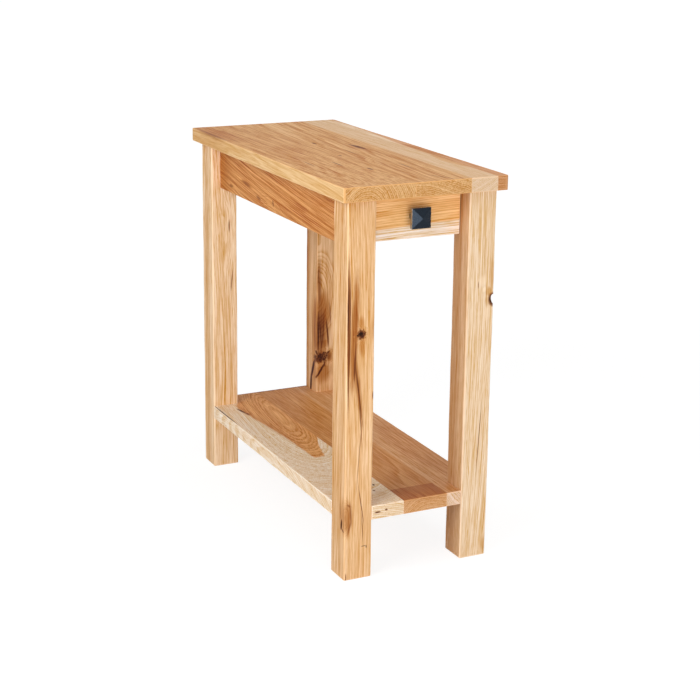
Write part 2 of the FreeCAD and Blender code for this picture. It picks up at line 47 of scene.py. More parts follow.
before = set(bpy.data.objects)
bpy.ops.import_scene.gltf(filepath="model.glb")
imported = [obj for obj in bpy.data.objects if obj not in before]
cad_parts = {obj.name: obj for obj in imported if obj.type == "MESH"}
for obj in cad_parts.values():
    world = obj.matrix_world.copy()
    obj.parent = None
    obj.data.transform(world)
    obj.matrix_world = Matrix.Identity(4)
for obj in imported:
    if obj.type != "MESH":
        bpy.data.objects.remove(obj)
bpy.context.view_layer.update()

MM = 0.001
QUARTER = math.pi / 2
SIDES = ("left", "right")


def srgb(red, green, blue):
    """A screen colour of 0 to 255 as linear light: ((c + 0.055) / 1.055) to the power 2.4."""
    return tuple(((value / 255 + 0.055) / 1.055) ** 2.4 for value in (red, green, blue))


def node_box(node):
    """A node's lowest and highest corner, in millimetres, as two arrays."""
    low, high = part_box(node)
    return np.array(low) / MM, np.array(high) / MM


# Settings that a user may change

def colour_setting(name, description, default):
    return bpy.props.FloatVectorProperty(
        name=name, description=description, default=default, size=3, subtype="COLOR", min=0.0, max=1.0)


def share_setting(name, description, default):
    return bpy.props.FloatProperty(
        name=name, description=description, default=default, min=0.0, max=1.0, subtype="FACTOR")


def length_setting(name, description, default_mm):
    return bpy.props.FloatProperty(
        name=name, description=description, default=default_mm * MM, min=0.0, unit="LENGTH",
        subtype="DISTANCE", precision=5)


def light_setting(name, description, default):
    return bpy.props.FloatProperty(name=name, description=description, default=default, min=0.0)


class HickoryColours(bpy.types.PropertyGroup):
    """Mean colours of the woods of each kind of piece, and colours of the iron and steel."""
    top_heart: colour_setting("Top heartwood", "Brown boards of the top", srgb(206, 150, 89))
    top_sap: colour_setting("Top sapwood", "Pale board of the top", srgb(221, 182, 139))
    top_rim: colour_setting("Top left edge", "Pale yellow sapwood on the left edge", srgb(228, 184, 126))
    top_edge: colour_setting("Top right board", "Reddish narrow board on the right", srgb(204, 144, 92))
    leg_sap: colour_setting("Leg sapwood", "Pale legs", srgb(231, 198, 159))
    leg_gold: colour_setting("Leg golden sapwood", "Back left leg", srgb(238, 200, 156))
    leg_tan: colour_setting("Leg tan wood", "Orange tan leg in front", srgb(223, 176, 125))
    leg_heart: colour_setting("Leg heartwood", "Brown streaks of the legs", srgb(178, 116, 58))
    apron: colour_setting("Aprons", "Heartwood of the aprons", srgb(202, 134, 68))
    shelf_sap: colour_setting("Shelf sapwood", "Pale shelf board", srgb(245, 219, 187))
    shelf_heart: colour_setting("Shelf heartwood", "Brown shelf boards", srgb(202, 137, 73))
    shelf_figure: colour_setting("Shelf figure", "Golden rings of the left shelf board", srgb(220, 149, 70))
    drawer_heart: colour_setting("Drawer heartwood", "Upper part of the drawer front", srgb(239, 185, 121))
    drawer_sap: colour_setting("Drawer sapwood", "Lower part of the drawer front", srgb(240, 214, 186))
    box_wood: colour_setting("Drawer box", "Pale hardwood of the drawer box", srgb(222, 192, 150))
    plain_wood: colour_setting("Hidden wood", "Rail, strips and buttons", srgb(206, 168, 120))
    bark_dark: colour_setting("Knots", "What bark leaves of the wood's colour", srgb(73, 41, 25))
    iron: colour_setting("Iron", "Dark bronze finish of the knob", (0.021, 0.028, 0.038))
    steel: colour_setting("Steel", "Zinc plated steel of slides and screws", (0.52, 0.53, 0.55))


class HickoryGrain(bpy.types.PropertyGroup):
    """How strongly the growth rings, streaks and fibres show."""
    ring_width: length_setting("Ring width", "Mean width of a growth ring", 3.4)
    line_depth: share_setting("Ring depth", "How much darker the late wood of a ring is", 0.28)
    streak_depth: share_setting("Streak depth", "How much the long mineral streaks darken the wood", 0.24)
    strand_depth: share_setting("Strand depth", "How much the narrow strands darken the wood", 0.47)
    fibre_depth: share_setting("Fibre depth", "How much the fine fibres darken the wood", 0.34)
    gloss: share_setting("Lacquer roughness", "Roughness of the satin lacquer", 0.5)
    relief: length_setting("Grain relief", "Depth of the grain that is felt through the lacquer", 0.09)


class WornEdges(bpy.types.PropertyGroup):
    """Sizes of the rubbed edges, and how much they wander."""
    leg_arris: length_setting("Leg arris", "Radius of the long edges of a leg", 1.9)
    top_arris: length_setting("Top arris", "Radius of the upper and lower edges of the top", 1.2)
    shelf_arris: length_setting("Shelf arris", "Radius of the upper and lower edges of the shelf", 1.2)
    front_arris: length_setting("Drawer front arris", "Radius of the edges of the drawer front", 1.0)
    foot: length_setting("Foot rounding", "Rounding round the foot of a leg", 1.5)
    crisp_corner: length_setting("Left corner", "Radius in plan of the two left corners of the top", 1.6)
    worn_corner: length_setting("Right corner", "Radius in plan of the two right corners of the top", 5.0)
    wear: share_setting("Wear", "How much the radius of an edge wanders along its length", 0.45)


class StudioSettings(bpy.types.PropertyGroup):
    """The lamps, the floor and the camera's lens."""
    front_lamp: light_setting("Front lamp", "Brightness of the low soft box in front", 4.8)
    left_lamp: light_setting("Left lamp", "Brightness of the soft box on the left", 5.9)
    top_lamp: light_setting("Top lamp", "Brightness of the soft box overhead", 4.0)
    room: light_setting("Room light", "Strength of the even light from all round", 0.40)
    floor_tone: share_setting("Floor tone", "How much light the pale floor gives back", 0.8)
    focal_length: bpy.props.FloatProperty(
        name="Focal length", description="Lens of the camera", default=82.182, unit="CAMERA", subtype="NONE")


SETTINGS = {
    "table_colours": HickoryColours,
    "table_grain": HickoryGrain,
    "table_edges": WornEdges,
    "table_studio": StudioSettings,
}


def settings(name):
    return getattr(bpy.context.scene, name)


# Node trees

class Graph:
    """Adds and links the nodes of one tree with short calls."""

    def __init__(self, tree):
        self.tree = tree

    def feed(self, socket, value):
        if isinstance(value, bpy.types.NodeSocket):
            self.tree.links.new(value, socket)
        else:
            wide = socket.type == "RGBA" and len(value) == 3
            socket.default_value = (*value, 1.0) if wide else value

    def add(self, kind, inputs=None, **options):
        node = self.tree.nodes.new(kind)
        for name, value in options.items():
            setattr(node, name, value)
        for name, value in (inputs or {}).items():
            self.feed(node.inputs[name], value)
        return node

    def calc(self, operation, *values, clamp=False):
        node = self.add("ShaderNodeMath", operation=operation, use_clamp=clamp)
        for socket, value in zip(node.inputs, values):
            self.feed(socket, value)
        return node.outputs["Value"]

    def plus(self, *values):
        total = values[0]
        for value in values[1:]:
            total = self.calc("ADD", total, value)
        return total

    def times(self, first, second):
        return self.calc("MULTIPLY", first, second)

    def rest(self, value):
        """What a share leaves of the whole: 1 - value."""
        return self.calc("SUBTRACT", 1.0, value)

    def swing(self, value, size, centre=0.5):
        """How far a value is from its centre, times a size: (value - centre) * size."""
        return self.times(self.calc("SUBTRACT", value, centre), size)

    def greatest(self, values):
        """The greatest of the values, or 0 if there is none."""
        most = values[0] if values else 0.0
        for value in values[1:]:
            most = self.calc("MAXIMUM", most, value)
        return most

    def vector(self, operation, *values, scale=None):
        node = self.add("ShaderNodeVectorMath", operation=operation)
        for socket, value in zip(node.inputs, values):
            self.feed(socket, value)
        if scale is not None:
            self.feed(node.inputs["Scale"], scale)
        return node.outputs["Value" if operation == "LENGTH" else "Vector"]

    def in_millimetres(self, place):
        return self.vector("SCALE", place, scale=1 / MM)

    def in_frame(self, place, centre, turn, size=(1.0, 1.0, 1.0)):
        """A place seen from a frame of its own: place - centre, turned back and divided by size."""
        return self.add("ShaderNodeMapping", {"Vector": place, "Location": centre, "Rotation": turn,
                                              "Scale": size}, vector_type="TEXTURE").outputs["Vector"]

    def fade(self, value, start, end, low=0.0, high=1.0):
        """Goes smoothly from low to high while the value goes from start to end."""
        node = self.add("ShaderNodeMapRange", interpolation_type="SMOOTHSTEP")
        for socket, given in zip(node.inputs, (value, start, end, low, high)):
            self.feed(socket, given)
        return node.outputs["Result"]

    def noise(self, vector, scale, detail=2.0, roughness=0.5):
        """Noise with a scale of its own along each axis. Gives the outputs Fac and Color."""
        stretched = self.vector("MULTIPLY", vector, scale)
        return self.add("ShaderNodeTexNoise", {"Vector": stretched, "Scale": 1.0, "Detail": detail,
                                               "Roughness": roughness}).outputs

    def blend(self, factor, first, second):
        node = self.add("ShaderNodeMix", data_type="RGBA", blend_type="MIX")
        for index, value in ((0, factor), (6, first), (7, second)):
            self.feed(node.inputs[index], value)
        return node.outputs[2]

    def split(self, vector):
        return self.add("ShaderNodeSeparateXYZ", {"Vector": vector}).outputs

    def coordinates(self):
        return self.add("ShaderNodeTexCoord").outputs

    def attribute(self, name):
        return self.add("ShaderNodeAttribute", attribute_name=name).outputs["Fac"]

    def group(self, name, **inputs):
        node = self.add("ShaderNodeGroup", node_tree=bpy.data.node_groups[name])
        for key, value in inputs.items():
            self.feed(node.inputs[key.replace("_", " ")], value)
        return node.outputs


SOCKETS = {"number": "NodeSocketFloat", "vector": "NodeSocketVector", "colour": "NodeSocketColor"}

# Length over which the pith's bow is given, in millimetres
BOW_LENGTH = 300.0
# How much a shade takes from red, green and blue, and the least that it leaves
GRAIN_TINT = (0.5, 0.96, 1.85)
DARKEST = (0.05, 0.03, 0.02)
# Factors for stained wood, end grain, rubbed wood lightened partly as painted highlight, and the bark in
# painted shade inside a crack
STAINED = (0.77, 0.58, 0.32)
ON_END = (1.02, 1.13, 1.35)
WEAR_AND_HIGHLIGHT_PALE = (1.26, 1.40, 1.65)
CRACK_BARK_AND_SHADE = (0.35, 0.3, 0.28)
# About the mean of Late over a ring, how much rings differ in tone as a share of their depth, and the
# depth of the pores
MEAN_LATE = 0.35
RING_CHANCE = 0.8
PORE_DEPTH = 0.26
# Thickness of a veneer, in millimetres
VENEER = 1.1


def new_group(name, inputs, outputs):
    """An empty node group with named sockets. Gives its graph, its inputs and a function that feeds its
    outputs."""
    tree = bpy.data.node_groups.new(name, "ShaderNodeTree")
    for way, sockets in (("INPUT", inputs), ("OUTPUT", outputs)):
        for socket_name, kind in sockets.items():
            tree.interface.new_socket(socket_name, in_out=way, socket_type=SOCKETS[kind])
    graph = Graph(tree)
    given = graph.add("NodeGroupInput").outputs
    end = graph.add("NodeGroupOutput")

    def give(**results):
        for key, value in results.items():
            graph.feed(end.inputs[key], value)

    return graph, given, give


def log_frame_group():
    """Places of the wood in its log, in millimetres. The pith runs along Z, leans by Lean times Z, and bows
    by Bow times the square of Z over the bow length."""
    graph, given, give = new_group(
        "Log Frame", {name: "vector" for name in ("Object", "Turn", "Pith", "Lean", "Bow")},
        {"Log": "vector", "Place": "vector"})
    place = graph.in_millimetres(given["Object"])
    turned = graph.in_frame(place, given["Pith"], given["Turn"])
    along = graph.split(turned)["Z"]
    leaning = graph.vector("SCALE", given["Lean"], scale=along)
    bend = graph.calc("POWER", graph.calc("ABSOLUTE", graph.calc("DIVIDE", along, BOW_LENGTH)), 2.0)
    bowing = graph.vector("SCALE", given["Bow"], scale=bend)
    give(Log=graph.vector("ADD", graph.vector("ADD", turned, leaning), bowing), Place=place)


def growth_rings_group():
    """Rings round the pith: the distance from the pith, swayed by long and short noise and pushed out round
    knots, over the ring width. Late is the darker late wood that ends each ring, and Tone is a chance value
    for each ring."""
    graph, given, give = new_group(
        "Growth Rings", {"Log": "vector", "Ring Width": "number", "Wander": "number", "Bulge": "number"},
        {"Late": "number", "Tone": "number", "Radius": "number"})
    parts = graph.split(given["Log"])
    across = graph.add("ShaderNodeCombineXYZ", {"X": parts["X"], "Y": parts["Y"]}).outputs["Vector"]
    radius = graph.vector("LENGTH", across)
    # Noise stretched along the grain, broad over 55 by 330 mm and fine over 9 by 95 mm
    broad = graph.noise(given["Log"], (1 / 55, 1 / 55, 1 / 330))["Fac"]
    fine = graph.noise(given["Log"], (1 / 9, 1 / 9, 1 / 95), detail=1.0)["Fac"]
    sway = graph.swing(broad, graph.times(given["Wander"], 3.0))
    ripple = graph.swing(fine, graph.times(given["Wander"], 0.5))
    moved = graph.plus(graph.plus(radius, given["Bulge"]), graph.plus(sway, ripple))
    count = graph.calc("DIVIDE", moved, given["Ring Width"])
    # Some rings are wider than others: their count drifts by up to three quarters of a ring
    drift = graph.add("ShaderNodeTexNoise", {"W": graph.times(count, 0.37), "Scale": 1.0, "Detail": 1.0},
                      noise_dimensions="1D").outputs["Fac"]
    uneven = graph.plus(count, graph.swing(drift, 1.5))
    part = graph.calc("FRACT", uneven)
    # Late wood rises slowly from a quarter of the ring on and stops short at its end
    late = graph.times(graph.fade(part, 0.25, 0.9), graph.fade(part, 0.9, 1.0, 1.0, 0.0))
    tone = graph.add("ShaderNodeTexWhiteNoise", {"W": graph.calc("FLOOR", uneven)}, noise_dimensions="1D")
    give(Late=late, Tone=tone.outputs["Value"], Radius=moved)


def fibres_group():
    """Broad streaks, narrow strands, fine fibres and open pores, all stretched along the grain."""
    graph, given, give = new_group(
        "Wood Fibres", {"Log": "vector"},
        {name: "number" for name in ("Streak", "Strand", "Fibre", "Pores")})
    found = []
    # Scale across and along the grain, detail, roughness, and where the fade starts and ends
    for across, along, detail, roughness, start, end in (
            (0.14, 0.0042, 4.0, 0.55, 0.32, 0.68), (0.46, 0.0095, 3.0, 0.55, 0.34, 0.66),
            (0.95, 0.03, 3.0, 0.6, 0.3, 0.7), (0.85, 0.042, 2.0, 0.5, 0.58, 0.70),
            (0.35, 0.007, 1.0, 0.5, 0.66, 0.74)):
        grain = graph.noise(given["Log"], (across, across, along), detail, roughness)["Fac"]
        found.append(graph.fade(grain, start, end))
    streak, strand, fibre, short_pores, long_pores = found
    give(Streak=streak, Strand=strand, Fibre=fibre, Pores=graph.plus(short_pores, long_pores))


def wood_mark_group():
    """A ragged ellipsoid in the wood. Distance is 1 on its skin, Mask fades out across the skin and Halo
    fades out by 2.4 times the size. Lumpy marks are as ragged across the grain as along it, and mottled."""
    vectors = {name: "vector" for name in ("Place", "Log", "Centre", "Turn", "Half Size")}
    graph, given, give = new_group(
        "Wood Mark", {**vectors, "Ragged": "number", "Softness": "number", "Lumpy": "number"},
        {"Mask": "number", "Halo": "number"})
    local = graph.in_frame(given["Place"], given["Centre"], given["Turn"], given["Half Size"])
    stretched = graph.noise(given["Log"], (0.24, 0.24, 0.028), 3.0, 0.55)["Color"]
    lumpy = graph.noise(given["Log"], (0.30, 0.30, 0.22), 3.0, 0.65)
    chance = graph.blend(given["Lumpy"], stretched, lumpy["Color"])
    push = graph.vector("SCALE", graph.vector("SUBTRACT", chance, (0.5, 0.5, 0.5)), scale=given["Ragged"])
    distance = graph.vector("LENGTH", graph.vector("ADD", local, push))
    inner, outer = graph.rest(given["Softness"]), graph.plus(1.0, given["Softness"])
    mottle = graph.times(given["Lumpy"], graph.fade(lumpy["Fac"], 0.44, 0.62, 0.0, 0.6))
    give(Mask=graph.times(graph.fade(distance, inner, outer, 1.0, 0.0), graph.rest(mottle)),
         Halo=graph.fade(distance, 0.3, 2.4, 1.0, 0.0))


def hickory_group():
    """Colour of lacquered hickory. The mean colour, between sapwood and heartwood, is darkened by the rings,
    streaks, strands, fibres and pores, most in blue and least in red. Then come stains, end grain, and worn
    arrises lightened partly as painted highlight. Bark and knots take the colour times Bark to the power
    Dark, and open cracks show bark under painted shade."""
    colours = {name: "colour" for name in ("Sap", "Heart Wood", "Bark")}
    numbers = {name: "number" for name in (
        "Heart", "Late", "Tone", "Streak", "Strand", "Fibre", "Pores", "Line Depth", "Streak Depth",
        "Strand Depth", "Fibre Depth", "End Grain", "Warm", "Dark", "Rubbed", "Hollow", "Gloss")}
    graph, given, give = new_group(
        "Hickory", {**colours, **numbers}, {"Color": "colour", "Roughness": "number", "Height": "number"})

    def towards(share, colour, source, factors):
        return graph.blend(share, colour, graph.vector("MULTIPLY", source, factors))

    end_grain = given["End Grain"]
    # On end grain the rings show more and the fibres less
    line_depth = graph.times(given["Line Depth"], graph.calc("MULTIPLY_ADD", end_grain, 0.7, 1.0))
    line = graph.swing(given["Late"], line_depth, MEAN_LATE)
    ring = graph.swing(given["Tone"], graph.times(line_depth, RING_CHANCE))
    threads = [graph.swing(given[name], given[f"{name} Depth"]) for name in ("Streak", "Strand", "Fibre")]
    thread = graph.times(graph.plus(*threads), graph.calc("MULTIPLY_ADD", end_grain, -0.5, 1.0))
    shade = graph.plus(line, ring, thread, graph.times(given["Pores"], PORE_DEPTH))
    darkening = graph.vector("SCALE", GRAIN_TINT, scale=shade)
    factor = graph.vector("MAXIMUM", graph.vector("SUBTRACT", (1.0, 1.0, 1.0), darkening), DARKEST)
    mean = graph.blend(given["Heart"], given["Sap"], given["Heart Wood"])
    colour = graph.vector("MULTIPLY", mean, factor)
    colour = towards(given["Warm"], colour, colour, STAINED)
    colour = towards(end_grain, colour, colour, ON_END)
    # Stains stay on rubbed wood, whose lightening is wear and painted highlight on the arrises
    unstained = graph.calc("MULTIPLY_ADD", given["Warm"], -0.6, 0.85)
    wear_and_highlight = graph.calc("MULTIPLY", given["Rubbed"], unstained, clamp=True)
    colour = towards(wear_and_highlight, colour, mean, WEAR_AND_HIGHLIGHT_PALE)
    colour = graph.vector("MULTIPLY", colour, graph.vector("POWER", given["Bark"], given["Dark"]))
    # Deep in a crack the colour goes towards dark bark, with painted shade
    colour = towards(given["Hollow"], colour, given["Bark"], CRACK_BARK_AND_SHADE)
    rough = graph.plus(given["Gloss"], graph.times(given["Late"], 0.06), graph.swing(given["Fibre"], 0.10))
    worn = graph.plus(graph.times(given["Hollow"], 0.35), graph.times(given["Dark"], 0.15))
    sunk = graph.plus(graph.times(given["Pores"], 0.5), graph.times(given["Fibre"], 0.3),
                      graph.times(given["Late"], -0.2))
    give(Color=colour, Roughness=graph.calc("ADD", rough, worn, clamp=True), Height=graph.rest(sunk))


def metal_skin_group():
    """Mottled metal: soft patches and fine lines change the colour's level and the roughness."""
    numbers = {name: "number" for name in ("Patch", "Lines", "Gloss", "Rubbed")}
    graph, given, give = new_group(
        "Metal Skin", {"Object": "vector", "Base": "colour", "Worn": "colour", **numbers},
        {"Color": "colour", "Roughness": "number", "Height": "number"})
    place = graph.in_millimetres(given["Object"])
    # Patches some 6 mm wide, grit finer than 1 mm, and lines 0.5 by 20 mm that run along Y
    patch = graph.noise(place, (0.16, 0.16, 0.16), 3.0, 0.55)["Fac"]
    grit = graph.noise(place, (1.6, 1.6, 1.6))["Fac"]
    lines = graph.noise(place, (2.2, 0.05, 2.2))["Fac"]
    level = graph.plus(graph.swing(patch, given["Patch"]), graph.swing(lines, given["Lines"]))
    lit = graph.vector("SCALE", given["Base"], scale=graph.plus(1.0, level))
    # Rubbed places take the worn colour, which on the knob's rim is wear and a painted highlight
    colour = graph.blend(graph.calc("MULTIPLY", given["Rubbed"], 0.6, clamp=True), lit, given["Worn"])
    rough = graph.calc("ADD", given["Gloss"], graph.times(level, 0.4), clamp=True)
    height = graph.plus(graph.times(grit, 0.5), graph.times(lines, given["Lines"]))
    give(Color=colour, Roughness=rough, Height=height)


def plywood_group():
    """Thin veneers stacked along Z: the place over the veneer's thickness, alternately light and dark, with
    a figure that runs along Y."""
    graph, given, give = new_group(
        "Veneer Stack", {"Object": "vector", "Light": "colour", "Dark": "colour"},
        {"Color": "colour", "Height": "number"})
    place = graph.in_millimetres(given["Object"])
    layer = graph.calc("PINGPONG", graph.calc("DIVIDE", graph.split(place)["Z"], VENEER), 1.0)
    figure = graph.noise(place, (0.5, 0.008, 0.5), 4.0, 0.6)["Fac"]
    share = graph.times(graph.plus(graph.fade(layer, 0.35, 0.65), figure), 0.5)
    give(Color=graph.blend(share, given["Light"], given["Dark"]), Height=figure)


GROUP_MAKERS = (log_frame_group, growth_rings_group, fibres_group, wood_mark_group, hickory_group,
                metal_skin_group, plywood_group)


# Materials

# Turns that lay the log's Z along the grain
GRAIN_TURN = {"X": (0.0, QUARTER, 0.0), "Y": (-QUARTER, 0.0, 0.0), "Z": (0.0, 0.0, 0.0)}
AXES = "XYZ"
# How blurred the border of heartwood and sapwood is, in millimetres to each side
BORDER_BLUR = 1.2
# Specular level of the satin lacquer, and strength of every skin's bump
SHEEN = 0.2
BUMP_STRENGTH = 0.7
# How much a knot stains the wood round it, and how far it pushes out the rings, times its least half size
KNOT_STAIN = 0.75
KNOT_BULGE = 3.0
# Colours of metal as linear light: where steel is rubbed, where iron is worn and given a painted highlight,
# and bare steel
BRIGHT_STEEL = (0.72, 0.72, 0.74)
WORN_AND_HIGHLIGHT_IRON = (0.60, 0.59, 0.58)
CAGE_STEEL = (0.60, 0.60, 0.62)
BALL_STEEL = (0.74, 0.74, 0.76)

# kind: knot, bark, heart, sap, warm, swirl or pale. Centre and half size in millimetres, tilt in degrees.
Mark = namedtuple("Mark", "kind centre half tilt ragged soft strength")


def new_material(name):
    material = bpy.data.materials.new(name)
    material.use_nodes = True
    material.node_tree.nodes.clear()
    return material, Graph(material.node_tree)


def close_material(graph, skin, roughness, relief, metallic=0.0, specular=0.5):
    """The shader, with the skin's colour and bump, joined to the output."""
    bump = graph.add("ShaderNodeBump", {"Height": skin["Height"], "Distance": relief,
                                        "Strength": BUMP_STRENGTH})
    shader = graph.add("ShaderNodeBsdfPrincipled", {"Base Color": skin["Color"], "Roughness": roughness,
                                                    "Metallic": metallic, "Specular IOR Level": specular,
                                                    "Normal": bump.outputs["Normal"]})
    graph.add("ShaderNodeOutputMaterial", {"Surface": shader.outputs["BSDF"]})


def hickory(name, grain, pith, sap, heart, share=1.0, border=None, lean=(0, 0, 0), bow=(0, 0, 0), wander=3.0,
            width=1.0, line=1.0, streak=1.0, calm=0.0, marks=()):
    """Lacquered hickory cut from a log whose pith runs along the grain through the place pith.
    Share is the part of heartwood, and border, if given, is the distance from the pith where it ends.
    Calm is how much of the figure is lost in sapwood."""
    material, graph = new_material(name)
    figure = settings("table_grain")
    coordinates = graph.coordinates()
    log = graph.group("Log Frame", Object=coordinates["Object"], Turn=GRAIN_TURN[grain], Pith=pith,
                      Lean=lean, Bow=bow)
    masks = {kind: [] for kind in ("warm", "dark", "heart", "sap", "pale")}
    bulge = 0.0
    for mark in marks:
        shape = graph.group("Wood Mark", Place=log["Place"], Log=log["Log"], Centre=mark.centre,
                            Turn=[math.radians(angle) for angle in mark.tilt], Half_Size=mark.half,
                            Ragged=mark.ragged, Softness=mark.soft, Lumpy=float(mark.kind == "knot"))
        level = graph.times(shape["Mask"], mark.strength)
        halo = graph.times(shape["Halo"], mark.strength)
        if mark.kind == "knot":
            masks["dark"].append(level)
            masks["warm"].append(graph.times(halo, KNOT_STAIN))
            bulge = graph.plus(bulge, graph.times(halo, KNOT_BULGE * min(mark.half)))
        elif mark.kind == "swirl":
            bulge = graph.plus(bulge, halo)
        else:
            masks["dark" if mark.kind == "bark" else mark.kind].append(level)
    rings = graph.group("Growth Rings", Log=log["Log"], Wander=wander, Bulge=bulge,
                        Ring_Width=figure.ring_width / MM * width)
    fibres = graph.group("Wood Fibres", Log=log["Log"])
    hearted = share
    if border is not None:
        inside = graph.fade(rings["Radius"], border - BORDER_BLUR, border + BORDER_BLUR, 1.0, 0.0)
        hearted = graph.times(inside, share)
    if masks["heart"]:
        hearted = graph.calc("MAXIMUM", hearted, graph.greatest(masks["heart"]))
    if masks["sap"]:
        hearted = graph.times(hearted, graph.rest(graph.greatest(masks["sap"])))
    facing = graph.calc("ABSOLUTE", graph.split(coordinates["Normal"])[AXES.index(grain)])
    figured = graph.rest(graph.times(graph.rest(hearted), calm))
    depths = {"Line_Depth": figure.line_depth * line, "Streak_Depth": figure.streak_depth * streak,
              "Strand_Depth": figure.strand_depth * streak, "Fibre_Depth": figure.fibre_depth}
    wood = graph.group(
        "Hickory", Sap=sap, Heart_Wood=heart, Bark=settings("table_colours").bark_dark, Heart=hearted,
        Late=rings["Late"], Tone=rings["Tone"],
        **{part: fibres[part] for part in ("Streak", "Strand", "Fibre", "Pores")},
        **{key: graph.times(figured, depth) for key, depth in depths.items()},
        End_Grain=graph.fade(facing, 0.75, 0.97), Warm=graph.greatest(masks["warm"]),
        Dark=graph.greatest(masks["dark"]),
        Rubbed=graph.calc("MAXIMUM", graph.attribute("wear_and_highlight"), graph.greatest(masks["pale"])),
        Hollow=graph.attribute("hollow"), Gloss=figure.gloss)
    close_material(graph, wood, wood["Roughness"], figure.relief, specular=SHEEN)
    return material


def metal(name, base, worn, gloss, patch, lines, relief):
    """Metal with soft patches, brushed lines and worn edges. Gloss is the roughness, and relief the depth
    of the skin in millimetres."""
    material, graph = new_material(name)
    skin = graph.group("Metal Skin", Object=graph.coordinates()["Object"], Base=base, Worn=worn, Patch=patch,
                       Lines=lines, Gloss=gloss, Rubbed=graph.attribute("wear_and_highlight"))
    close_material(graph, skin, skin["Roughness"], relief * MM, metallic=1.0)
    return material


def plywood(name, light, dark):
    """Plywood with veneers that show on its edges."""
    material, graph = new_material(name)
    stack = graph.group("Veneer Stack", Object=graph.coordinates()["Object"], Light=light, Dark=dark)
    rough = graph.plus(graph.times(stack["Height"], 0.15), 0.45)
    close_material(graph, stack, rough, relief=0.05 * MM)
    return material


def finish_nodes(material, *nodes):
    """Gives CAD nodes a material in their own slots."""
    for node in nodes:
        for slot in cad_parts[node].material_slots:
            slot.material = material


# Surfaces

Scoop = namedtuple("Scoop", "centre half push")

# Radii in millimetres of an edge that is glued to its neighbour, and of one that nothing has rubbed
GLUED = 0.05
UNWORN = 0.3
# Sides whose arris is under this radius, in millimetres, don't draw in towards the ends
LEAST_WORN = 0.2
# Distance between the points across a side, and half the gap over which a notch is cut, in millimetres
SIDE_STEP = 3.5
CUT_GAP = 0.1
# How far the rubbed and finely divided part of an end goes, as a multiple of its rounding
END_REACH = 1.6
# Stands for a radius of nothing, in millimetres
NO_RADIUS = 1e-6
# Sizes of the rings that close an end, as shares of its outline
LIDS = (0.35, 0.7, 0.985)


def set_back(distance, radius):
    """How far a quarter round stands back at a distance from its end: r - sqrt(r^2 - (r - distance)^2)."""
    reach = np.clip(radius - distance, 0.0, radius)
    return radius - np.sqrt(np.maximum(radius ** 2 - reach ** 2, 0.0))


def spread(low, high, step, focus=()):
    """Places from low to high about a step apart, and finer round each focus (place, reach, fine step)."""
    places = [np.linspace(low, high, max(2, round((high - low) / step) + 1))]
    finest = step
    for place, reach, fine in focus:
        places.append(np.arange(place - reach, place + reach + fine / 2, fine))
        finest = min(finest, fine)
    merged = np.unique(np.concatenate(places))
    merged = merged[(merged > low + finest / 3) & (merged < high - finest / 3)]
    merged = np.concatenate([[low], merged, [high]])
    keep = np.append(np.diff(merged) > finest / 3, True)
    return merged[keep]


def wander_along(along, seed):
    """Slow waves along the four long edges, about -1 to 1: a long, a middling and a short sine of chance
    phase and length."""
    chance = np.random.default_rng(seed)
    lengths = chance.uniform((180, 70, 25), (320, 120, 45), (4, 3))
    phases = chance.uniform(0, 2 * math.pi, (4, 3))
    weights = np.array((0.5, 0.3, 0.2))
    waves = np.sin(2 * math.pi * along[:, None, None] / lengths + phases)
    return (waves * weights).sum(axis=2)


def sections(low_a, high_a, low_b, high_b, radii, shares, arc_steps):
    """Rounded rectangles, one for each station. Arc point = corner centre + R (cos t, sin t) for t over a
    quarter turn, and side point = (1 - s) times the end of one arc + s times the start of the next. Gives
    the points and how far out on an arris each one is, from 0 to 1."""
    angles = np.linspace(0.0, QUARTER, arc_steps + 1)
    corners = ((high_a, high_b, 1, 1), (low_a, high_b, -1, 1), (low_a, low_b, -1, -1),
               (high_a, low_b, 1, -1))
    arcs = []
    for index, (edge_a, edge_b, sign_a, sign_b) in enumerate(corners):
        radius = radii[:, index, None]
        turn = angles + index * QUARTER
        arc_a = edge_a[:, None] - sign_a * radius + radius * np.cos(turn)
        arc_b = edge_b[:, None] - sign_b * radius + radius * np.sin(turn)
        arcs.append(np.stack([arc_a, arc_b], axis=-1))
    parts, weights = [], []
    # 1 on the middle of an arris and half of that where it meets the sides
    bump = np.sin(2 * angles) * 0.5 + 0.5
    for index, share in enumerate(shares):
        start = arcs[index][:, -1:]
        end = arcs[(index + 1) % 4][:, :1]
        parts.extend([arcs[index], start + (end - start) * share[None, :, None]])
        weights.extend([bump, np.zeros_like(share)])
    return np.concatenate(parts, axis=1), np.concatenate(weights)


def skin(count, around):
    """Faces over a stack of closed rings: squares, and at each end a fan of triangles round a point."""
    index = np.arange(count * around).reshape(count, around)
    beside = np.roll(index, -1, axis=1)
    squares = np.stack([index[:-1], beside[:-1], beside[1:], index[1:]], axis=-1).reshape(-1, 4)
    first, last = count * around, count * around + 1
    start_fan = np.stack([np.full(around, first), beside[0], index[0]], axis=-1)
    end_fan = np.stack([np.full(around, last), index[-1], beside[-1]], axis=-1)
    return squares, np.concatenate([start_fan, end_fan])


def capped(stations, along):
    """Closes a stack of sections: each end gets rings drawn in towards its middle, and then a centre point.
    Returns the rings as (a, b, along) points and the two centre points."""
    height = np.broadcast_to(along[:, None, None], (*stations.shape[:2], 1))
    rings = np.concatenate([stations, height], axis=2)
    middles, lids = [], []
    for ring in (rings[0], rings[-1]):
        middle = (ring.min(axis=0) + ring.max(axis=0)) / 2
        middles.append(middle)
        lids.append([middle + (ring - middle) * lid for lid in LIDS])
    return np.concatenate([lids[0], rings, lids[1][::-1]]), np.array(middles)


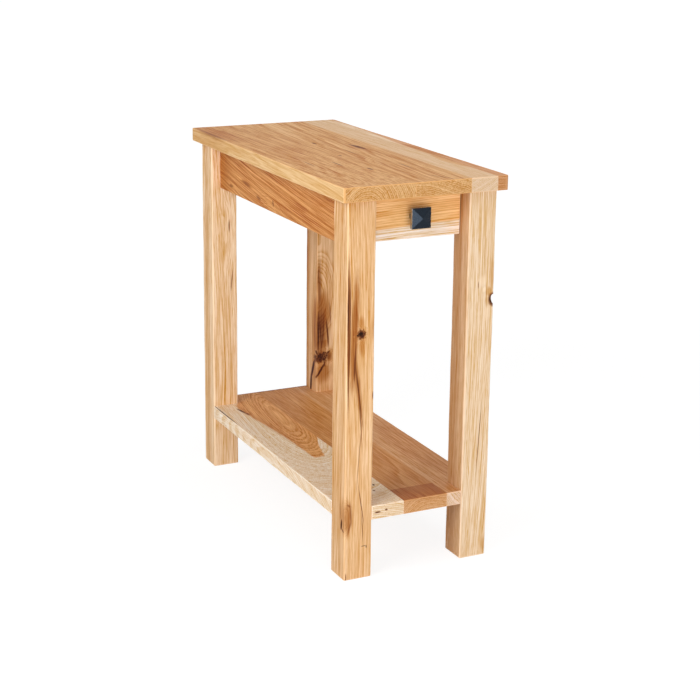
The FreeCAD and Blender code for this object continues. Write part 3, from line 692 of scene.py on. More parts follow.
def carve(points, scoops):
    """Presses ellipsoids into a surface. A point p inside one moves along its push n by the t that solves
    |(p + t n - c) / s| = 1. Returns the points and how deep each one went, as a share of the deepest."""
    depth = np.zeros(len(points))
    for scoop in scoops:
        half = np.array(scoop.half, float)
        push = np.array(scoop.push, float)
        push /= np.linalg.norm(push)
        local = (points - np.array(scoop.centre)) / half
        step = push / half
        squared = (step ** 2).sum()
        cross = local @ step
        inside = (local ** 2).sum(axis=1) - 1.0
        root = np.sqrt(np.maximum(cross ** 2 - squared * inside, 0))
        reach = np.where(inside < 0, (root - cross) / squared, 0.0)
        points = points + reach[:, None] * push
        if reach.max() > 0:
            depth = np.maximum(depth, reach / reach.max())
    return points, depth


def into_scene(name, data):
    """A new object for the data, at the origin."""
    thing = bpy.data.objects.new(name, data)
    bpy.context.scene.collection.objects.link(thing)
    return thing


def place_piece(name, points, squares, triangles, attributes, material, sharp_degrees):
    """Makes the mesh, in metres, with its faces turned outwards, smooth but for its sharp edges."""
    solid = np.concatenate([triangles, squares[:, [0, 1, 2]], squares[:, [0, 2, 3]]])
    corner = points[solid]
    volume = np.einsum("ij,ij->i", corner[:, 0], np.cross(corner[:, 1], corner[:, 2])).sum()
    if volume < 0:
        squares, triangles = squares[:, ::-1], triangles[:, ::-1]
    mesh = bpy.data.meshes.new(name)
    mesh.from_pydata((points * MM).tolist(), [], squares.tolist() + triangles.tolist())
    for key, values in attributes.items():
        mesh.attributes.new(key, "FLOAT", "POINT").data.foreach_set("value", values.astype(np.float32))
    mesh.polygons.foreach_set("use_smooth", np.ones(len(mesh.polygons), bool))
    mesh.set_sharp_from_angle(angle=math.radians(sharp_degrees))
    mesh.materials.append(material)
    return into_scene(name, mesh)


def round_scoops(scoops, axis, reach, parts, finest):
    """Where points stand closer together: round each scoop, out to reach times its half size, with its half
    size cut in so many parts, but not finer than the finest step."""
    return [(scoop.centre[axis], scoop.half[axis] * reach, max(scoop.half[axis] / parts, finest))
            for scoop in scoops]


def bar(node, grain, material, arris, ends, plan=(0.0, 0.0), notch=None, scoops=(), step=6.0, seed=0):
    """A worn board or post in a node's box: a rounded rectangle carried along the grain.
    Arris holds the radii of the four long edges (+a+b, -a+b, -a-b, +a-b), which wander along the grain.
    Towards each end the section draws in by a quarter round, and on side a also by the plan radius.
    Notch is (where along the grain, new low a, new high a) for a board that is cut round the legs."""
    low, high = node_box(node)
    along_axis = AXES.index(grain)
    side_axes = [axis for axis in range(3) if axis != along_axis]
    first_end, last_end = low[along_axis], high[along_axis]
    places = [(end, radius * END_REACH, radius / 4) for end, radius in zip((first_end, last_end), ends)]
    if max(plan) > 0:
        places += [(end, max(plan), max(plan) / 6) for end in (first_end, last_end)]
    places += round_scoops(scoops, along_axis, reach=1.15, parts=9, finest=0.3)
    along = spread(first_end, last_end, step, places)
    if notch is not None:
        cuts = [side * notch[0] + gap for side in (-1, 1) for gap in (-CUT_GAP, CUT_GAP)]
        along = along[np.abs(np.abs(along) - notch[0]) > 5 * CUT_GAP]
        along = np.sort(np.concatenate([along, cuts]))
    # How far the section has drawn in at each station
    from_low, from_high = along - first_end, last_end - along
    back = set_back(from_low, ends[0]) + set_back(from_high, ends[1])
    low_a = np.full_like(along, low[side_axes[0]])
    high_a = np.full_like(along, high[side_axes[0]])
    if notch is not None:
        beyond = np.abs(along) > notch[0]
        low_a = np.where(beyond, notch[1], low_a)
        high_a = np.where(beyond, notch[2], high_a)
    nearest = np.minimum(from_low, from_high)
    low_a = low_a + back * (arris[1] > LEAST_WORN) + set_back(nearest, max(plan[0], NO_RADIUS))
    high_a = high_a - back * (arris[0] > LEAST_WORN) - set_back(nearest, max(plan[1], NO_RADIUS))
    low_b, high_b = low[side_axes[1]] + back, high[side_axes[1]] - back
    waves = wander_along(along, seed)
    radii = np.array(arris) * (1.0 + settings("table_edges").wear * waves)
    radii = np.maximum(radii - back[:, None] * 0.6, GLUED)
    # Where the points of each side stand, as shares of the way from one arris to the next. The outer ones
    # stand close to the arrises, so that the side between them is shaded flat.
    shares = []
    for index in range(4):
        axis = side_axes[index % 2]
        first, last = low[axis] + max(arris), high[axis] - max(arris)
        close = min(0.7, (last - first) / 8)
        places = spread(first, last, SIDE_STEP,
                        round_scoops(scoops, axis, reach=1.3, parts=5, finest=0.25))
        places = np.sort(np.append(places, (first + close, last - close)))
        part = (places - first) / (last - first)
        shares.append((part if index > 1 else 1.0 - part[::-1])[1:-1])
    flat, weight = sections(low_a, high_a, low_b, high_b, radii, shares, arc_steps=4)
    rings, centres = capped(flat, along)
    # Rubbed on the arrises, most where they have worn widest, and round the ends; this lightening is wear
    # and painted highlight
    amount = np.pad(1.0 + 0.6 * waves.mean(axis=1), len(LIDS), mode="edge")
    ending = np.clip(END_REACH - np.minimum(from_low / ends[0], from_high / ends[1]), 0, 1)
    ending = np.pad(ending, len(LIDS), constant_values=0.0)
    wear_and_highlight = np.maximum(weight[None, :] * amount[:, None], ending[:, None])
    order = np.argsort([*side_axes, along_axis])
    points = np.concatenate([rings.reshape(-1, 3), centres])[:, order]
    points, hollow = carve(points, scoops)
    squares, triangles = skin(*rings.shape[:2])
    looks = {"wear_and_highlight": np.append(wear_and_highlight.ravel(), (0.0, 0.0)), "hollow": hollow}
    return place_piece(f"worn_{node}", points, squares, triangles, looks, material, sharp_degrees=40)


def board_arrises(arris, open_side=None):
    """Radii of a board's long edges, in bar's order: worn on its open side and crisp where glued."""
    left, right = (arris if side == open_side else GLUED for side in SIDES)
    return right, left, left, right


def dress(piece, body, node):
    """The piece takes its node's place on the body that carries it."""
    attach(piece, body)
    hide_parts(node)


def face_marks(axis, level, rows):
    """Marks on one face. The place along the face's axis is level, and a row gives the kind, the two other
    places, the half size, the tilt about that axis, how ragged and soft the mark is, and its strength."""
    turn = AXES.index(axis)
    marks = []
    for kind, first, second, half, tilt, ragged, soft, strength in rows:
        centre = [first, second]
        centre.insert(turn, level)
        tilts = [0, 0]
        tilts.insert(turn, tilt)
        marks.append(Mark(kind, centre, half, tilts, ragged, soft, strength))
    return tuple(marks)


# Marks of the boards and legs, in millimetres in the table's own frame

TOP_Z = node_box("top_board_left")[1][2]
SHELF_Z = node_box("shelf_board_left")[1][2]
LEG_FACE_X, LEG_FACE_Y = node_box("leg_front_left")[0][:2]
LEG_INNER_X, LEG_INNER_Y = node_box("leg_front_left")[1][:2]
APRON_X = node_box("side_apron_left")[0][0]
DRAWER_Y, DRAWER_Z = node_box("drawer_front")[0][1:]

TOP_LEFT_MARKS = face_marks("Z", TOP_Z - 12, (
    ("sap", LEG_FACE_X - 13.8, 0, (1.5, 900, 60), 0, 0.1, 0.15, 1.0),
    # The left edge face is darker towards the back
    ("warm", LEG_FACE_X - 12.7, 252, (3, 95, 40), 0, 0.5, 0.6, 0.4),
)) + face_marks("Z", TOP_Z, (
    ("warm", -120, 222, (22, 84, 12), 0, 0.8, 0.6, 0.9),
    ("warm", -76, 110, (52, 150, 12), 0, 0.6, 0.8, 0.24),
    ("bark", -134, 222, (4.0, 60, 4), 0, 0.6, 0.6, 0.2),
    ("bark", -59.2, -120, (1.2, 17, 4), 0, 0.5, 0.5, 0.55),
    ("bark", -31.7, -178, (1.9, 9, 4), 0, 0.6, 0.5, 0.5),
    ("bark", -22, -54, (2.4, 4, 3), 0, 0.8, 0.5, 0.3),
    ("bark", -99, -103, (1.0, 18, 3), 0, 0.8, 0.6, 0.35),
    ("pale", -128, -240, (6, 16, 5), 0, 0.8, 0.6, 0.35),
    ("pale", -117, 112, (9, 12, 5), 0, 0.8, 0.6, 0.4),
))
TOP_CENTRE_MARKS = face_marks("Z", TOP_Z, (
    ("knot", 41.6, 12, (3.8, 22, 7), 4.4, 0.8, 0.4, 0.66),
    ("bark", 41.6, 13, (1.8, 28, 7), 4.4, 0.8, 0.5, 0.5),
    ("warm", 36, 8, (10, 24, 7), 4.4, 0.8, 0.7, 0.6),
    ("bark", -10.2, 70.7, (1.9, 7, 4), 0, 0.6, 0.5, 0.55),
    ("bark", 31, -174, (1.0, 20, 3), 0, 0.8, 0.6, 0.35),
    ("bark", 35, -276, (1.1, 20, 3), 24, 0.8, 0.6, 0.3),
    ("bark", 8, -30, (0.9, 26, 3), 0, 0.8, 0.6, 0.3),
))
TOP_SAPWOOD_MARKS = face_marks("Z", TOP_Z, (
    ("heart", 119, -160, (13, 60, 60), 0, 0.5, 0.15, 0.9),
))
TOP_RIGHT_MARKS = face_marks("Z", TOP_Z, (
    ("sap", 112, 140, (17, 190, 60), -3, 0.4, 0.15, 1.0),
)) + face_marks("Z", TOP_Z - 11, (
    ("warm", 127, -305.4, (60, 2, 30), 0, 0.0, 0.2, 0.5),
))
FRONT_LEFT_MARKS = face_marks("Y", LEG_FACE_Y, (
    ("heart", -119.8, 396, (2.6, 6, 80), 0, 0.8, 0.5, 0.95),
    ("bark", -121.0, 425, (1.3, 4, 56), 0, 1.2, 0.7, 0.60),
    ("bark", -118.2, 405, (1.0, 4, 60), 0, 1.2, 0.7, 0.45),
    ("bark", -119.9, 322, (1.0, 4, 48), 0, 1.2, 0.7, 0.45),
    ("heart", -110.8, 388, (6.4, 14, 84), 2, 0.8, 0.4, 1.0),
    ("warm", -110.6, 380, (4.5, 8, 66), 2, 0.8, 0.6, 0.7),
    ("bark", -109.2, 345, (1.4, 5, 22), 2, 1.2, 0.7, 0.40),
    ("heart", -104, 308, (4.2, 12, 58), -7.6, 0.9, 0.5, 0.9),
    ("bark", -103.2, 302, (1.1, 5, 40), -8, 1.2, 0.7, 0.42),
    ("bark", -99.4, 260, (0.8, 5, 38), -4, 1.2, 0.7, 0.36),
    ("bark", -100.5, 198, (0.6, 4, 52), 4, 1.2, 0.7, 0.25),
    ("bark", -96.2, 120, (0.7, 4, 28), -9, 0.9, 0.6, 0.40),
    ("bark", -93.8, 84, (0.6, 4, 22), -3, 0.9, 0.6, 0.35),
    ("knot", -99.5, 387, (6.0, 7, 7.0), 0, 1.8, 0.4, 0.85),
    ("warm", -100, 404, (4, 6, 10), 0, 0.9, 0.6, 1.0),
    ("warm", -98.7, 369, (4.5, 6, 13), 0, 0.9, 0.6, 1.0),
    ("warm", -81, 394, (4, 6, 13), 0, 0.9, 0.6, 0.6),
    ("pale", -111.2, 385, (2.2, 3, 1.7), 0, 0.7, 0.4, 0.8),
    ("pale", -116.6, 385, (0.8, 4, 72), 0, 0.7, 0.6, 0.6),
    ("bark", -78.4, 291, (1.3, 3, 5.5), 0, 0.5, 0.5, 0.5),
    ("warm", -117.5, 102, (2.4, 5, 22), 0, 0.8, 0.5, 0.95),
    ("bark", -116.2, 121, (3.6, 3, 1.4), 32, 1.2, 0.8, 0.22),
    ("bark", -113.4, 107, (1.3, 3, 14), -3, 1.4, 0.8, 0.2),
    ("bark", -115.4, 86, (1.3, 3, 9), 16, 1.4, 0.8, 0.18),
    ("pale", -100, 60, (60, 12, 330), 0, 0.2, 0.9, 0.26),
    ("bark", -120.7, 5, (1.0, 3, 6), 0, 0.5, 0.5, 0.3),
)) + face_marks("Y", LEG_FACE_Y + 1.5, (
    ("pale", -100.6, 388.4, (1.5, 2.5, 1.7), 30, 0.5, 0.4, 1.0),
)) + face_marks("Y", LEG_FACE_Y + 1, (
    ("pale", -97.2, 385.2, (0.9, 2.5, 1.2), 0, 0.5, 0.4, 0.9),
    ("heart", -119, 101, (6.5, 12, 24), 0, 0.6, 0.5, 0.6),
)) + face_marks("Y", LEG_FACE_Y + 2, (
    ("swirl", -120.5, 102, (5.5, 7, 16), 0, 0.2, 0.35, 20.0),
    ("warm", -120, 103, (9, 16.5, 29), 0, 0.5, 0.4, 0.75),
)) + face_marks("X", LEG_FACE_X, (
    ("bark", -281.4, 88.5, (2.4, 2.2, 8), 6, 0.5, 0.4, 0.8),
    ("bark", -286.6, 80.5, (2, 3.6, 1.6), 28, 0.8, 0.5, 0.45),
    ("bark", -278.2, 108, (2, 0.9, 14), -8, 0.8, 0.6, 0.2),
))
FRONT_LEFT_SCOOPS = (
    Scoop((-100.0, LEG_FACE_Y, 387.5), (4.6, 1.6, 3.6), (0, 1, 0)),
    Scoop((-105.2, LEG_FACE_Y, 386), (1.9, 1.0, 1.5), (0, 1, 0)),
    Scoop((LEG_FACE_X, -281.6, 88.5), (1.8, 1.3, 7.0), (1, 0, 0)),
    Scoop((-91, LEG_FACE_Y, 52), (4.2, 0.9, 0.7), (0, 1, 0)),
    Scoop((-86.4, LEG_FACE_Y, 50.4), (0.9, 0.9, 2.6), (0, 1, 0)),
)
FRONT_RIGHT_MARKS = face_marks("Y", LEG_FACE_Y, (
    ("bark", 123, 418, (8.0, 9, 10), 0, 0.6, 0.3, 0.6),
    ("warm", 115.5, 430, (5, 6, 7.5), 0, 0.6, 0.5, 0.95),
    ("warm", 112.8, 416, (3.4, 5, 9), 0, 0.7, 0.6, 0.6),
    ("warm", 120, 456, (3.4, 6, 27), 0, 0.7, 0.6, 0.7),
    ("pale", 107, 434, (2.6, 4, 4), 0, 0.7, 0.5, 0.8),
    ("pale", 112, 398, (4, 5, 12), 0, 0.9, 0.6, 0.5),
    ("bark", 96.6, 442, (0.7, 2, 5), 0, 0.4, 0.5, 0.3),
    ("pale", 103, 447, (6, 4, 9), 20, 0.9, 0.6, 0.5),
    ("bark", 105.8, 194, (0.6, 4, 44), 3, 1.0, 0.7, 0.4),
    ("warm", 121, 18, (5, 8, 12), 0, 0.6, 0.6, 0.8),
)) + face_marks("X", -LEG_INNER_X, (
    ("heart", -268, 300, (6, 24, 900), 0, 0.2, 0.2, 0.36),
    ("heart", -260, 300, (6, 18, 900), 0, 0.3, 0.5, 0.6),
    ("warm", -268, 300, (4, 24, 900), 0, 0.5, 0.4, 0.3),
))
FRONT_RIGHT_SCOOPS = (
    Scoop((-LEG_FACE_X, LEG_FACE_Y, 418), (7.0, 7.0, 7.4), (-1, 1, 0)),
)
BACK_RIGHT_MARKS = face_marks("Y", -LEG_INNER_Y, (
    ("swirl", 80, 298, (17, 10, 42), 0, 0.15, 0.35, 32.0),
    ("heart", 87, 244, (18, 16, 64), 0, 0.5, 0.3, 0.95),
    ("warm", 90, 270, (15, 20, 36), 6, 0.4, 0.3, 0.6),
    ("warm", 86, 158, (17, 20, 27), 0, 0.6, 0.6, 0.8),
    ("warm", 105, 182, (6, 9, 14), 12, 0.8, 0.6, 0.9),
    ("bark", 102.5, 181, (5.5, 8, 8), 0, 1.0, 0.7, 0.28),
    ("heart", 82, 322, (5, 8, 46), 0, 0.9, 0.6, 0.9),
    ("bark", 83.4, 312, (2.6, 6, 34), 0, 1.4, 0.7, 0.2),
    ("bark", 80.4, 334, (0.9, 4, 15), 0, 0.8, 0.5, 0.35),
    ("bark", 86, 230, (8, 6, 36), 2, 1.4, 0.7, 0.26),
    ("heart", 92, 150, (15, 14, 20), 20, 0.9, 0.6, 0.7),
    ("bark", 81.4, 226, (1.8, 6, 34), 0, 1.6, 0.6, 0.75),
    ("bark", 85.4, 230, (1.2, 5, 30), -4, 1.6, 0.6, 0.65),
    ("bark", 90.4, 222, (1.0, 5, 25), 5, 1.5, 0.6, 0.5),
    ("bark", 99.8, 226, (1.5, 5, 22), -5, 1.4, 0.6, 0.6),
    ("bark", 105, 264, (1.1, 5, 20), -4, 0.9, 0.6, 0.25),
    ("pale", 94, 226, (1.0, 4, 28), 3, 1.0, 0.6, 0.40),
    ("knot", 86.6, 180, (13, 12, 8.5), -12, 1.7, 0.4, 0.9),
    ("bark", 101, 188, (5.0, 6, 1.7), -40, 0.8, 0.4, 0.6),
    ("bark", 78.6, 190, (1.4, 6, 6), -20, 0.8, 0.4, 0.6),
    ("bark", 86, 155, (2.0, 6, 16), 33, 1.3, 0.4, 0.65),
    ("bark", 94, 168, (1.4, 5, 6), -10, 0.9, 0.4, 0.5),
    # Painted highlight: a whitish streak near the right edge of the front face
    ("pale", 110.6, 241, (2.8, 5, 31), 0, 0.6, 0.5, 1.0),
    ("pale", 106, 134, (9, 5, 10), 25, 0.9, 0.6, 0.5),
    ("warm", 98, 147, (10, 6, 2.4), -32, 0.8, 0.6, 0.7),
)) + face_marks("X", -LEG_INNER_X, (
    ("bark", 261.5, 156, (6, 3.8, 18), 20, 0.5, 0.4, 0.9),
    ("bark", 269.3, 128, (6, 3.6, 18), 5, 0.5, 0.4, 0.9),
    ("warm", 256, 158, (5, 8, 34), 12, 0.6, 0.6, 0.8),
    ("pale", 269, 322, (5, 6, 64), 0, 0.7, 0.6, 0.4),
    # Painted highlight along the front arris of the left face
    ("pale", 247.5, 300, (2, 2, 66), 0, 0.4, 0.5, 0.7),
    ("warm", 258.5, 216, (4, 8, 70), 0, 0.6, 0.6, 0.9),
    # Darker along the back arris of the left face
    ("warm", 286, 330, (4, 7, 300), 0, 0.6, 0.6, 0.8),
    ("bark", 291.5, 300, (3, 2.6, 230), 0, 0.5, 0.6, 0.25),
))
BACK_LEFT_MARKS = face_marks("X", LEG_FACE_X, (
    ("warm", 272, 300, (4, 9, 900), 0, 0.6, 0.6, 0.6),
)) + face_marks("Y", -LEG_INNER_Y, (
    ("bark", -92, 443, (1.4, 4, 9), 0, 1.0, 0.6, 0.3),
    ("bark", -88, 343, (1.2, 4, 16), 5, 1.0, 0.6, 0.25),
    ("swirl", -90, 440, (10, 20, 46), 0, 0.3, 0.35, 8.0),
))
SHELF_LEFT_MARKS = face_marks("Z", SHELF_Z, (
    ("sap", -130, -60, (60, 330, 60), 0, 0.06, 0.03, 1.0),
    ("sap", -23.5, -17, (14, 75, 50), -17.7, 0.2, 0.1, 0.95),
    ("heart", -44, 250, (36, 104, 50), 0, 0.1, 0.1, 0.92),
    ("warm", -75, 100, (7, 110, 12), 5, 0.4, 0.6, 0.55),
    ("heart", -69, 196, (20, 50, 50), 5, 0.1, 0.1, 0.92),
    ("bark", -89, 202, (2.2, 14, 3), 9, 0.5, 0.4, 0.6),
    ("warm", -84.5, 180, (4.5, 11, 5), 9, 0.7, 0.5, 0.9),
    ("bark", -85, 183, (2.6, 6, 3), 9, 0.8, 0.6, 0.3),
    ("bark", -122.4, 196, (1.1, 58, 1.8), 0, 0.3, 0.3, 0.65),
    ("bark", -35.6, -214, (1.6, 2.6, 2.2), 0, 0.3, 0.4, 0.8),
    ("bark", -46, -236, (1.5, 2.4, 2.0), 0, 0.3, 0.4, 0.6),
    ("warm", -40, -250, (7, 10, 5), 0, 0.8, 0.6, 0.4),
    # Painted shade: a dark strip along the back edge, widening towards the right
    ("bark", 0, 292.5, (900, 2.4, 2), 0, 0.1, 0.4, 0.35),
)) + face_marks("Y", LEG_FACE_Y, (
    ("bark", -68, 103, (4.6, 2.5, 1.2), 0, 0.8, 0.4, 0.6),
    ("bark", -53, 105, (2.0, 2.5, 1.3), 0, 0.8, 0.4, 0.6),
)) + face_marks("Z", SHELF_Z - 11, (
    ("warm", 0, -292.8, (900, 2.0, 30), 0, 0.0, 0.2, 0.65),
))
SHELF_LEFT_SCOOPS = (
    Scoop((-121.9, 196, SHELF_Z + 0.2), (0.9, 58, 1.4), (0.3, 0, -1)),
    Scoop((-35.6, -214, SHELF_Z), (1.3, 2.2, 1.3), (0, 0, -1)),
)
SHELF_MIDDLE_MARKS = face_marks("Z", SHELF_Z, (
    ("warm", 14, -268, (900, 23.9, 40), 0, 0.0, 0.04, 1.0),
    ("bark", 14, -268, (900, 23.9, 40), 0, 0.0, 0.04, 0.04),
    # Painted shade along the back edge, wider than on the left board
    ("bark", 0, 292.5, (900, 4.0, 2), 0, 0.1, 0.4, 0.35),
)) + face_marks("Z", SHELF_Z - 11, (
    ("sap", 14, -293.1, (60, 2.2, 30), 0, 0.0, 0.2, 0.1),
))
SHELF_RIGHT_MARKS = face_marks("Z", SHELF_Z, (
    ("warm", 115, -90, (44, 150, 60), 0, 0.5, 0.15, 0.6),
    # Painted shade along the back edge, widest on this board
    ("bark", 0, 292.5, (900, 5.0, 2), 0, 0.1, 0.4, 0.35),
)) + face_marks("Z", SHELF_Z - 11, (
    ("sap", 90, -293.1, (60, 2.2, 30), 0, 0.0, 0.2, 0.35),
))
DRAWER_MARKS = face_marks("Y", DRAWER_Y, (
    ("sap", 0, 505, (900, 80, 32), -2.5, 0.06, 0.05, 1.0),
    ("pale", 0, DRAWER_Z, (200, 2, 1.2), 0, 0.0, 0.3, 0.8),
))
APRON_MARKS = face_marks("X", APRON_X, (
    ("warm", 127, 539, (6, 24, 3.4), 7, 0.8, 0.6, 1.0),
    ("bark", 127, 539, (6, 18, 2.2), 7, 0.9, 0.6, 0.25),
    ("bark", 74, 524.4, (6, 9, 2.4), 7, 0.9, 0.6, 0.25),
    ("pale", 32, 524.8, (6, 8, 4.6), 0, 0.9, 0.5, 0.6),
    ("bark", 15, 526, (6, 1.8, 5.0), -12, 0.7, 0.4, 0.4),
    ("swirl", 20, 526, (10, 26, 12), 0, 0.3, 0.35, 12.0),
    ("warm", -92, 541, (6, 24, 3.4), 5, 0.8, 0.6, 0.8),
    ("pale", 207, 529.7, (6, 11, 3.4), 0, 0.8, 0.5, 0.6),
    ("bark", 195, 524, (6, 8, 2.2), 0, 0.8, 0.5, 0.25),
    ("swirl", 212, 524, (10, 26, 12), 0, 0.3, 0.35, 10.0),
    # Painted shade: the back end of the apron is darkened beside the back leg
    ("warm", 236, 545, (6, 36, 60), 0, 0.5, 0.6, 0.5),
    ("bark", 240, 545, (6, 40, 60), 0, 0.5, 0.6, 0.04),
))


# Operators, one for each piece or group of like pieces

class MakeTopBoards(bpy.types.Operator):
    """Makes the four glued boards of the top"""
    bl_idname = "rustic_table.top_boards"
    bl_label = "Top Boards"

    def execute(self, context):
        colours, edges = settings("table_colours"), settings("table_edges")
        arris = edges.top_arris / MM
        crisp, worn = edges.crisp_corner / MM, edges.worn_corner / MM
        left = hickory("Top left board", "Y", (-107, 60, 594), colours.top_rim, colours.top_heart,
                       lean=(0.02, 0.012, 0), bow=(0, -10, 0), wander=4.0, width=0.85, streak=1.45,
                       calm=0.55, marks=TOP_LEFT_MARKS)
        centre = hickory("Top centre board", "Y", (-30, -60, 380), colours.top_sap, colours.top_heart,
                         lean=(-0.03, 0.01, 0), wander=4.0, width=0.75, streak=1.45, marks=TOP_CENTRE_MARKS)
        pale = hickory("Top sapwood board", "Y", (30, 0, 720), colours.top_sap, colours.top_heart,
                       share=0.06, lean=(0.02, 0, 0), wander=4.0, width=0.7, line=0.6, streak=0.7,
                       calm=0.45, marks=TOP_SAPWOOD_MARKS)
        edge = hickory("Top right board", "Y", (128, 0, 760), colours.top_sap, colours.top_edge,
                       lean=(0.02, 0.01, 0), wander=3.0, line=1.2, marks=TOP_RIGHT_MARKS)
        boards = (("left", left, "left", (crisp, 0), "top_heartwood"),
                  ("centre", centre, None, (0, 0), "top_heartwood"),
                  ("sapwood", pale, None, (0, 0), "top_sapwood"),
                  ("right", edge, "right", (0, worn), "top_edge_heartwood"))
        for seed, (place, wood, open_side, plan, slot) in enumerate(boards, 11):
            node = f"top_board_{place}"
            board = bar(node, "Y", wood, board_arrises(arris, open_side), (arris, arris), plan=plan,
                        seed=seed)
            dress(board, "carcase", node)
        return {"FINISHED"}


class MakeLegs(bpy.types.Operator):
    """Makes the four square legs with worn arrises, knots and cracks"""
    bl_idname = "rustic_table.legs"
    bl_label = "Legs"

    def execute(self, context):
        colours, edges = settings("table_colours"), settings("table_edges")
        arris = (edges.leg_arris / MM,) * 4
        ends = (edges.foot / MM, UNWORN)
        sap, gold, tan, heart = colours.leg_sap, colours.leg_gold, colours.leg_tan, colours.leg_heart
        front_left = hickory("Front left leg", "Z", (0, -200, 300), tan, heart, share=0.0,
                             lean=(0.01, 0.02, 0), bow=(4, 0, 0), width=0.8, streak=1.1,
                             marks=FRONT_LEFT_MARKS)
        front_right = hickory("Front right leg", "Z", (0, -200, 300), sap, heart, share=0.0,
                              lean=(-0.02, 0.01, 0), bow=(5, 0, 0), width=0.8, line=0.8, streak=0.55,
                              marks=FRONT_RIGHT_MARKS)
        back_left = hickory("Back left leg", "Z", (-20, 330, 300), gold, heart, share=0.03,
                            lean=(0.02, 0.02, 0), bow=(6, 4, 0), wander=4.5, width=0.8, streak=0.8,
                            marks=BACK_LEFT_MARKS)
        # The back right leg takes the darker tan wood: partly its own colour, partly painted shade for the
        # shade it stands in under the top
        back_right = hickory("Back right leg", "Z", (84, 346, 300), tan, heart, share=0.12, line=1.6,
                             width=1.1, streak=1.1, marks=BACK_RIGHT_MARKS)
        legs = (("front_left", front_left, FRONT_LEFT_SCOOPS),
                ("front_right", front_right, FRONT_RIGHT_SCOOPS),
                ("back_left", back_left, ()),
                ("back_right", back_right, ()))
        for seed, (place, wood, scoops) in enumerate(legs, 21):
            node = f"leg_{place}"
            post = bar(node, "Z", wood, arris, ends, scoops=scoops, seed=seed)
            dress(post, "carcase", node)
        return {"FINISHED"}


class MakeShelfBoards(bpy.types.Operator):
    """Makes the three boards of the lower shelf, cut round the legs"""
    bl_idname = "rustic_table.shelf_boards"
    bl_label = "Shelf Boards"

    def execute(self, context):
        colours, edges = settings("table_colours"), settings("table_edges")
        arris = edges.shelf_arris / MM
        left = hickory("Shelf left board", "Y", (-38, 150, 101), colours.shelf_sap, colours.shelf_figure,
                       share=0.92, border=50.0, lean=(-0.105, 0, 0), bow=(0, -71, 0), wander=2.0, line=1.5,
                       streak=0.9, calm=0.45, marks=SHELF_LEFT_MARKS)
        middle = hickory("Shelf middle board", "Y", (10, 60, 60), colours.shelf_sap, colours.shelf_heart,
                         lean=(0.03, 0.02, 0), wander=6.0, line=0.7, streak=0.9, marks=SHELF_MIDDLE_MARKS)
        right = hickory("Shelf right board", "Y", (150, 0, 180), colours.shelf_sap, colours.shelf_heart,
                        share=0.85, lean=(0.02, 0.03, 0), wander=6.0, line=0.6, streak=0.8,
                        marks=SHELF_RIGHT_MARKS)
        left_notch = (-LEG_INNER_Y, LEG_INNER_X, node_box("shelf_board_left")[1][0])
        right_notch = (-LEG_INNER_Y, node_box("shelf_board_right")[0][0], -LEG_INNER_X)
        boards = (("left", left, "left", left_notch, SHELF_LEFT_SCOOPS, "shelf_sapwood"),
                  ("middle", middle, None, None, (), "shelf_heartwood"),
                  ("right", right, "right", right_notch, (), "shelf_heartwood"))
        for seed, (place, wood, open_side, notch, scoops, slot) in enumerate(boards, 31):
            node = f"shelf_board_{place}"
            board = bar(node, "Y", wood, board_arrises(arris, open_side), (arris, arris), notch=notch,
                        scoops=scoops, seed=seed)
            dress(board, "carcase", node)
        return {"FINISHED"}


class FinishAprons(bpy.types.Operator):
    """Gives the side and back aprons their figured heartwood"""
    bl_idname = "rustic_table.aprons"
    bl_label = "Aprons"

    def execute(self, context):
        colours = settings("table_colours")
        pale = colours.leg_sap
        for side, pith, marks in (("left", (-100, 0, 640), APRON_MARKS), ("right", (100, 40, 430), ())):
            wood = hickory(f"Apron {side}", "Y", pith, pale, colours.apron, lean=(0, 0.13, 0),
                           bow=(0, 10, 0), wander=6.0, width=0.7, line=1.7, streak=1.8, marks=marks)
            finish_nodes(wood, f"side_apron_{side}")
        back = hickory("Back apron", "X", (0, 266, 450), pale, colours.apron, lean=(0.06, 0, 0), wander=8.0,
                       line=1.3)
        finish_nodes(back, "back_apron")
        return {"FINISHED"}


class MakeDrawerFront(bpy.types.Operator):
    """Makes the drawer front, brown heartwood above a band of sapwood"""
    bl_idname = "rustic_table.drawer_front"
    bl_label = "Drawer Front"

    def execute(self, context):
        colours, edges = settings("table_colours"), settings("table_edges")
        wood = hickory("Drawer front", "X", (0, -250, 640), colours.drawer_sap, colours.drawer_heart,
                       lean=(0.02, 0, 0), wander=5.0, line=1.25, streak=0.45, marks=DRAWER_MARKS)
        arris = edges.front_arris / MM
        front = bar("drawer_front", "X", wood, (UNWORN, arris, arris, UNWORN), (arris, arris), seed=41,
                    step=5.0)
        dress(front, "drawer", "drawer_front")
        return {"FINISHED"}


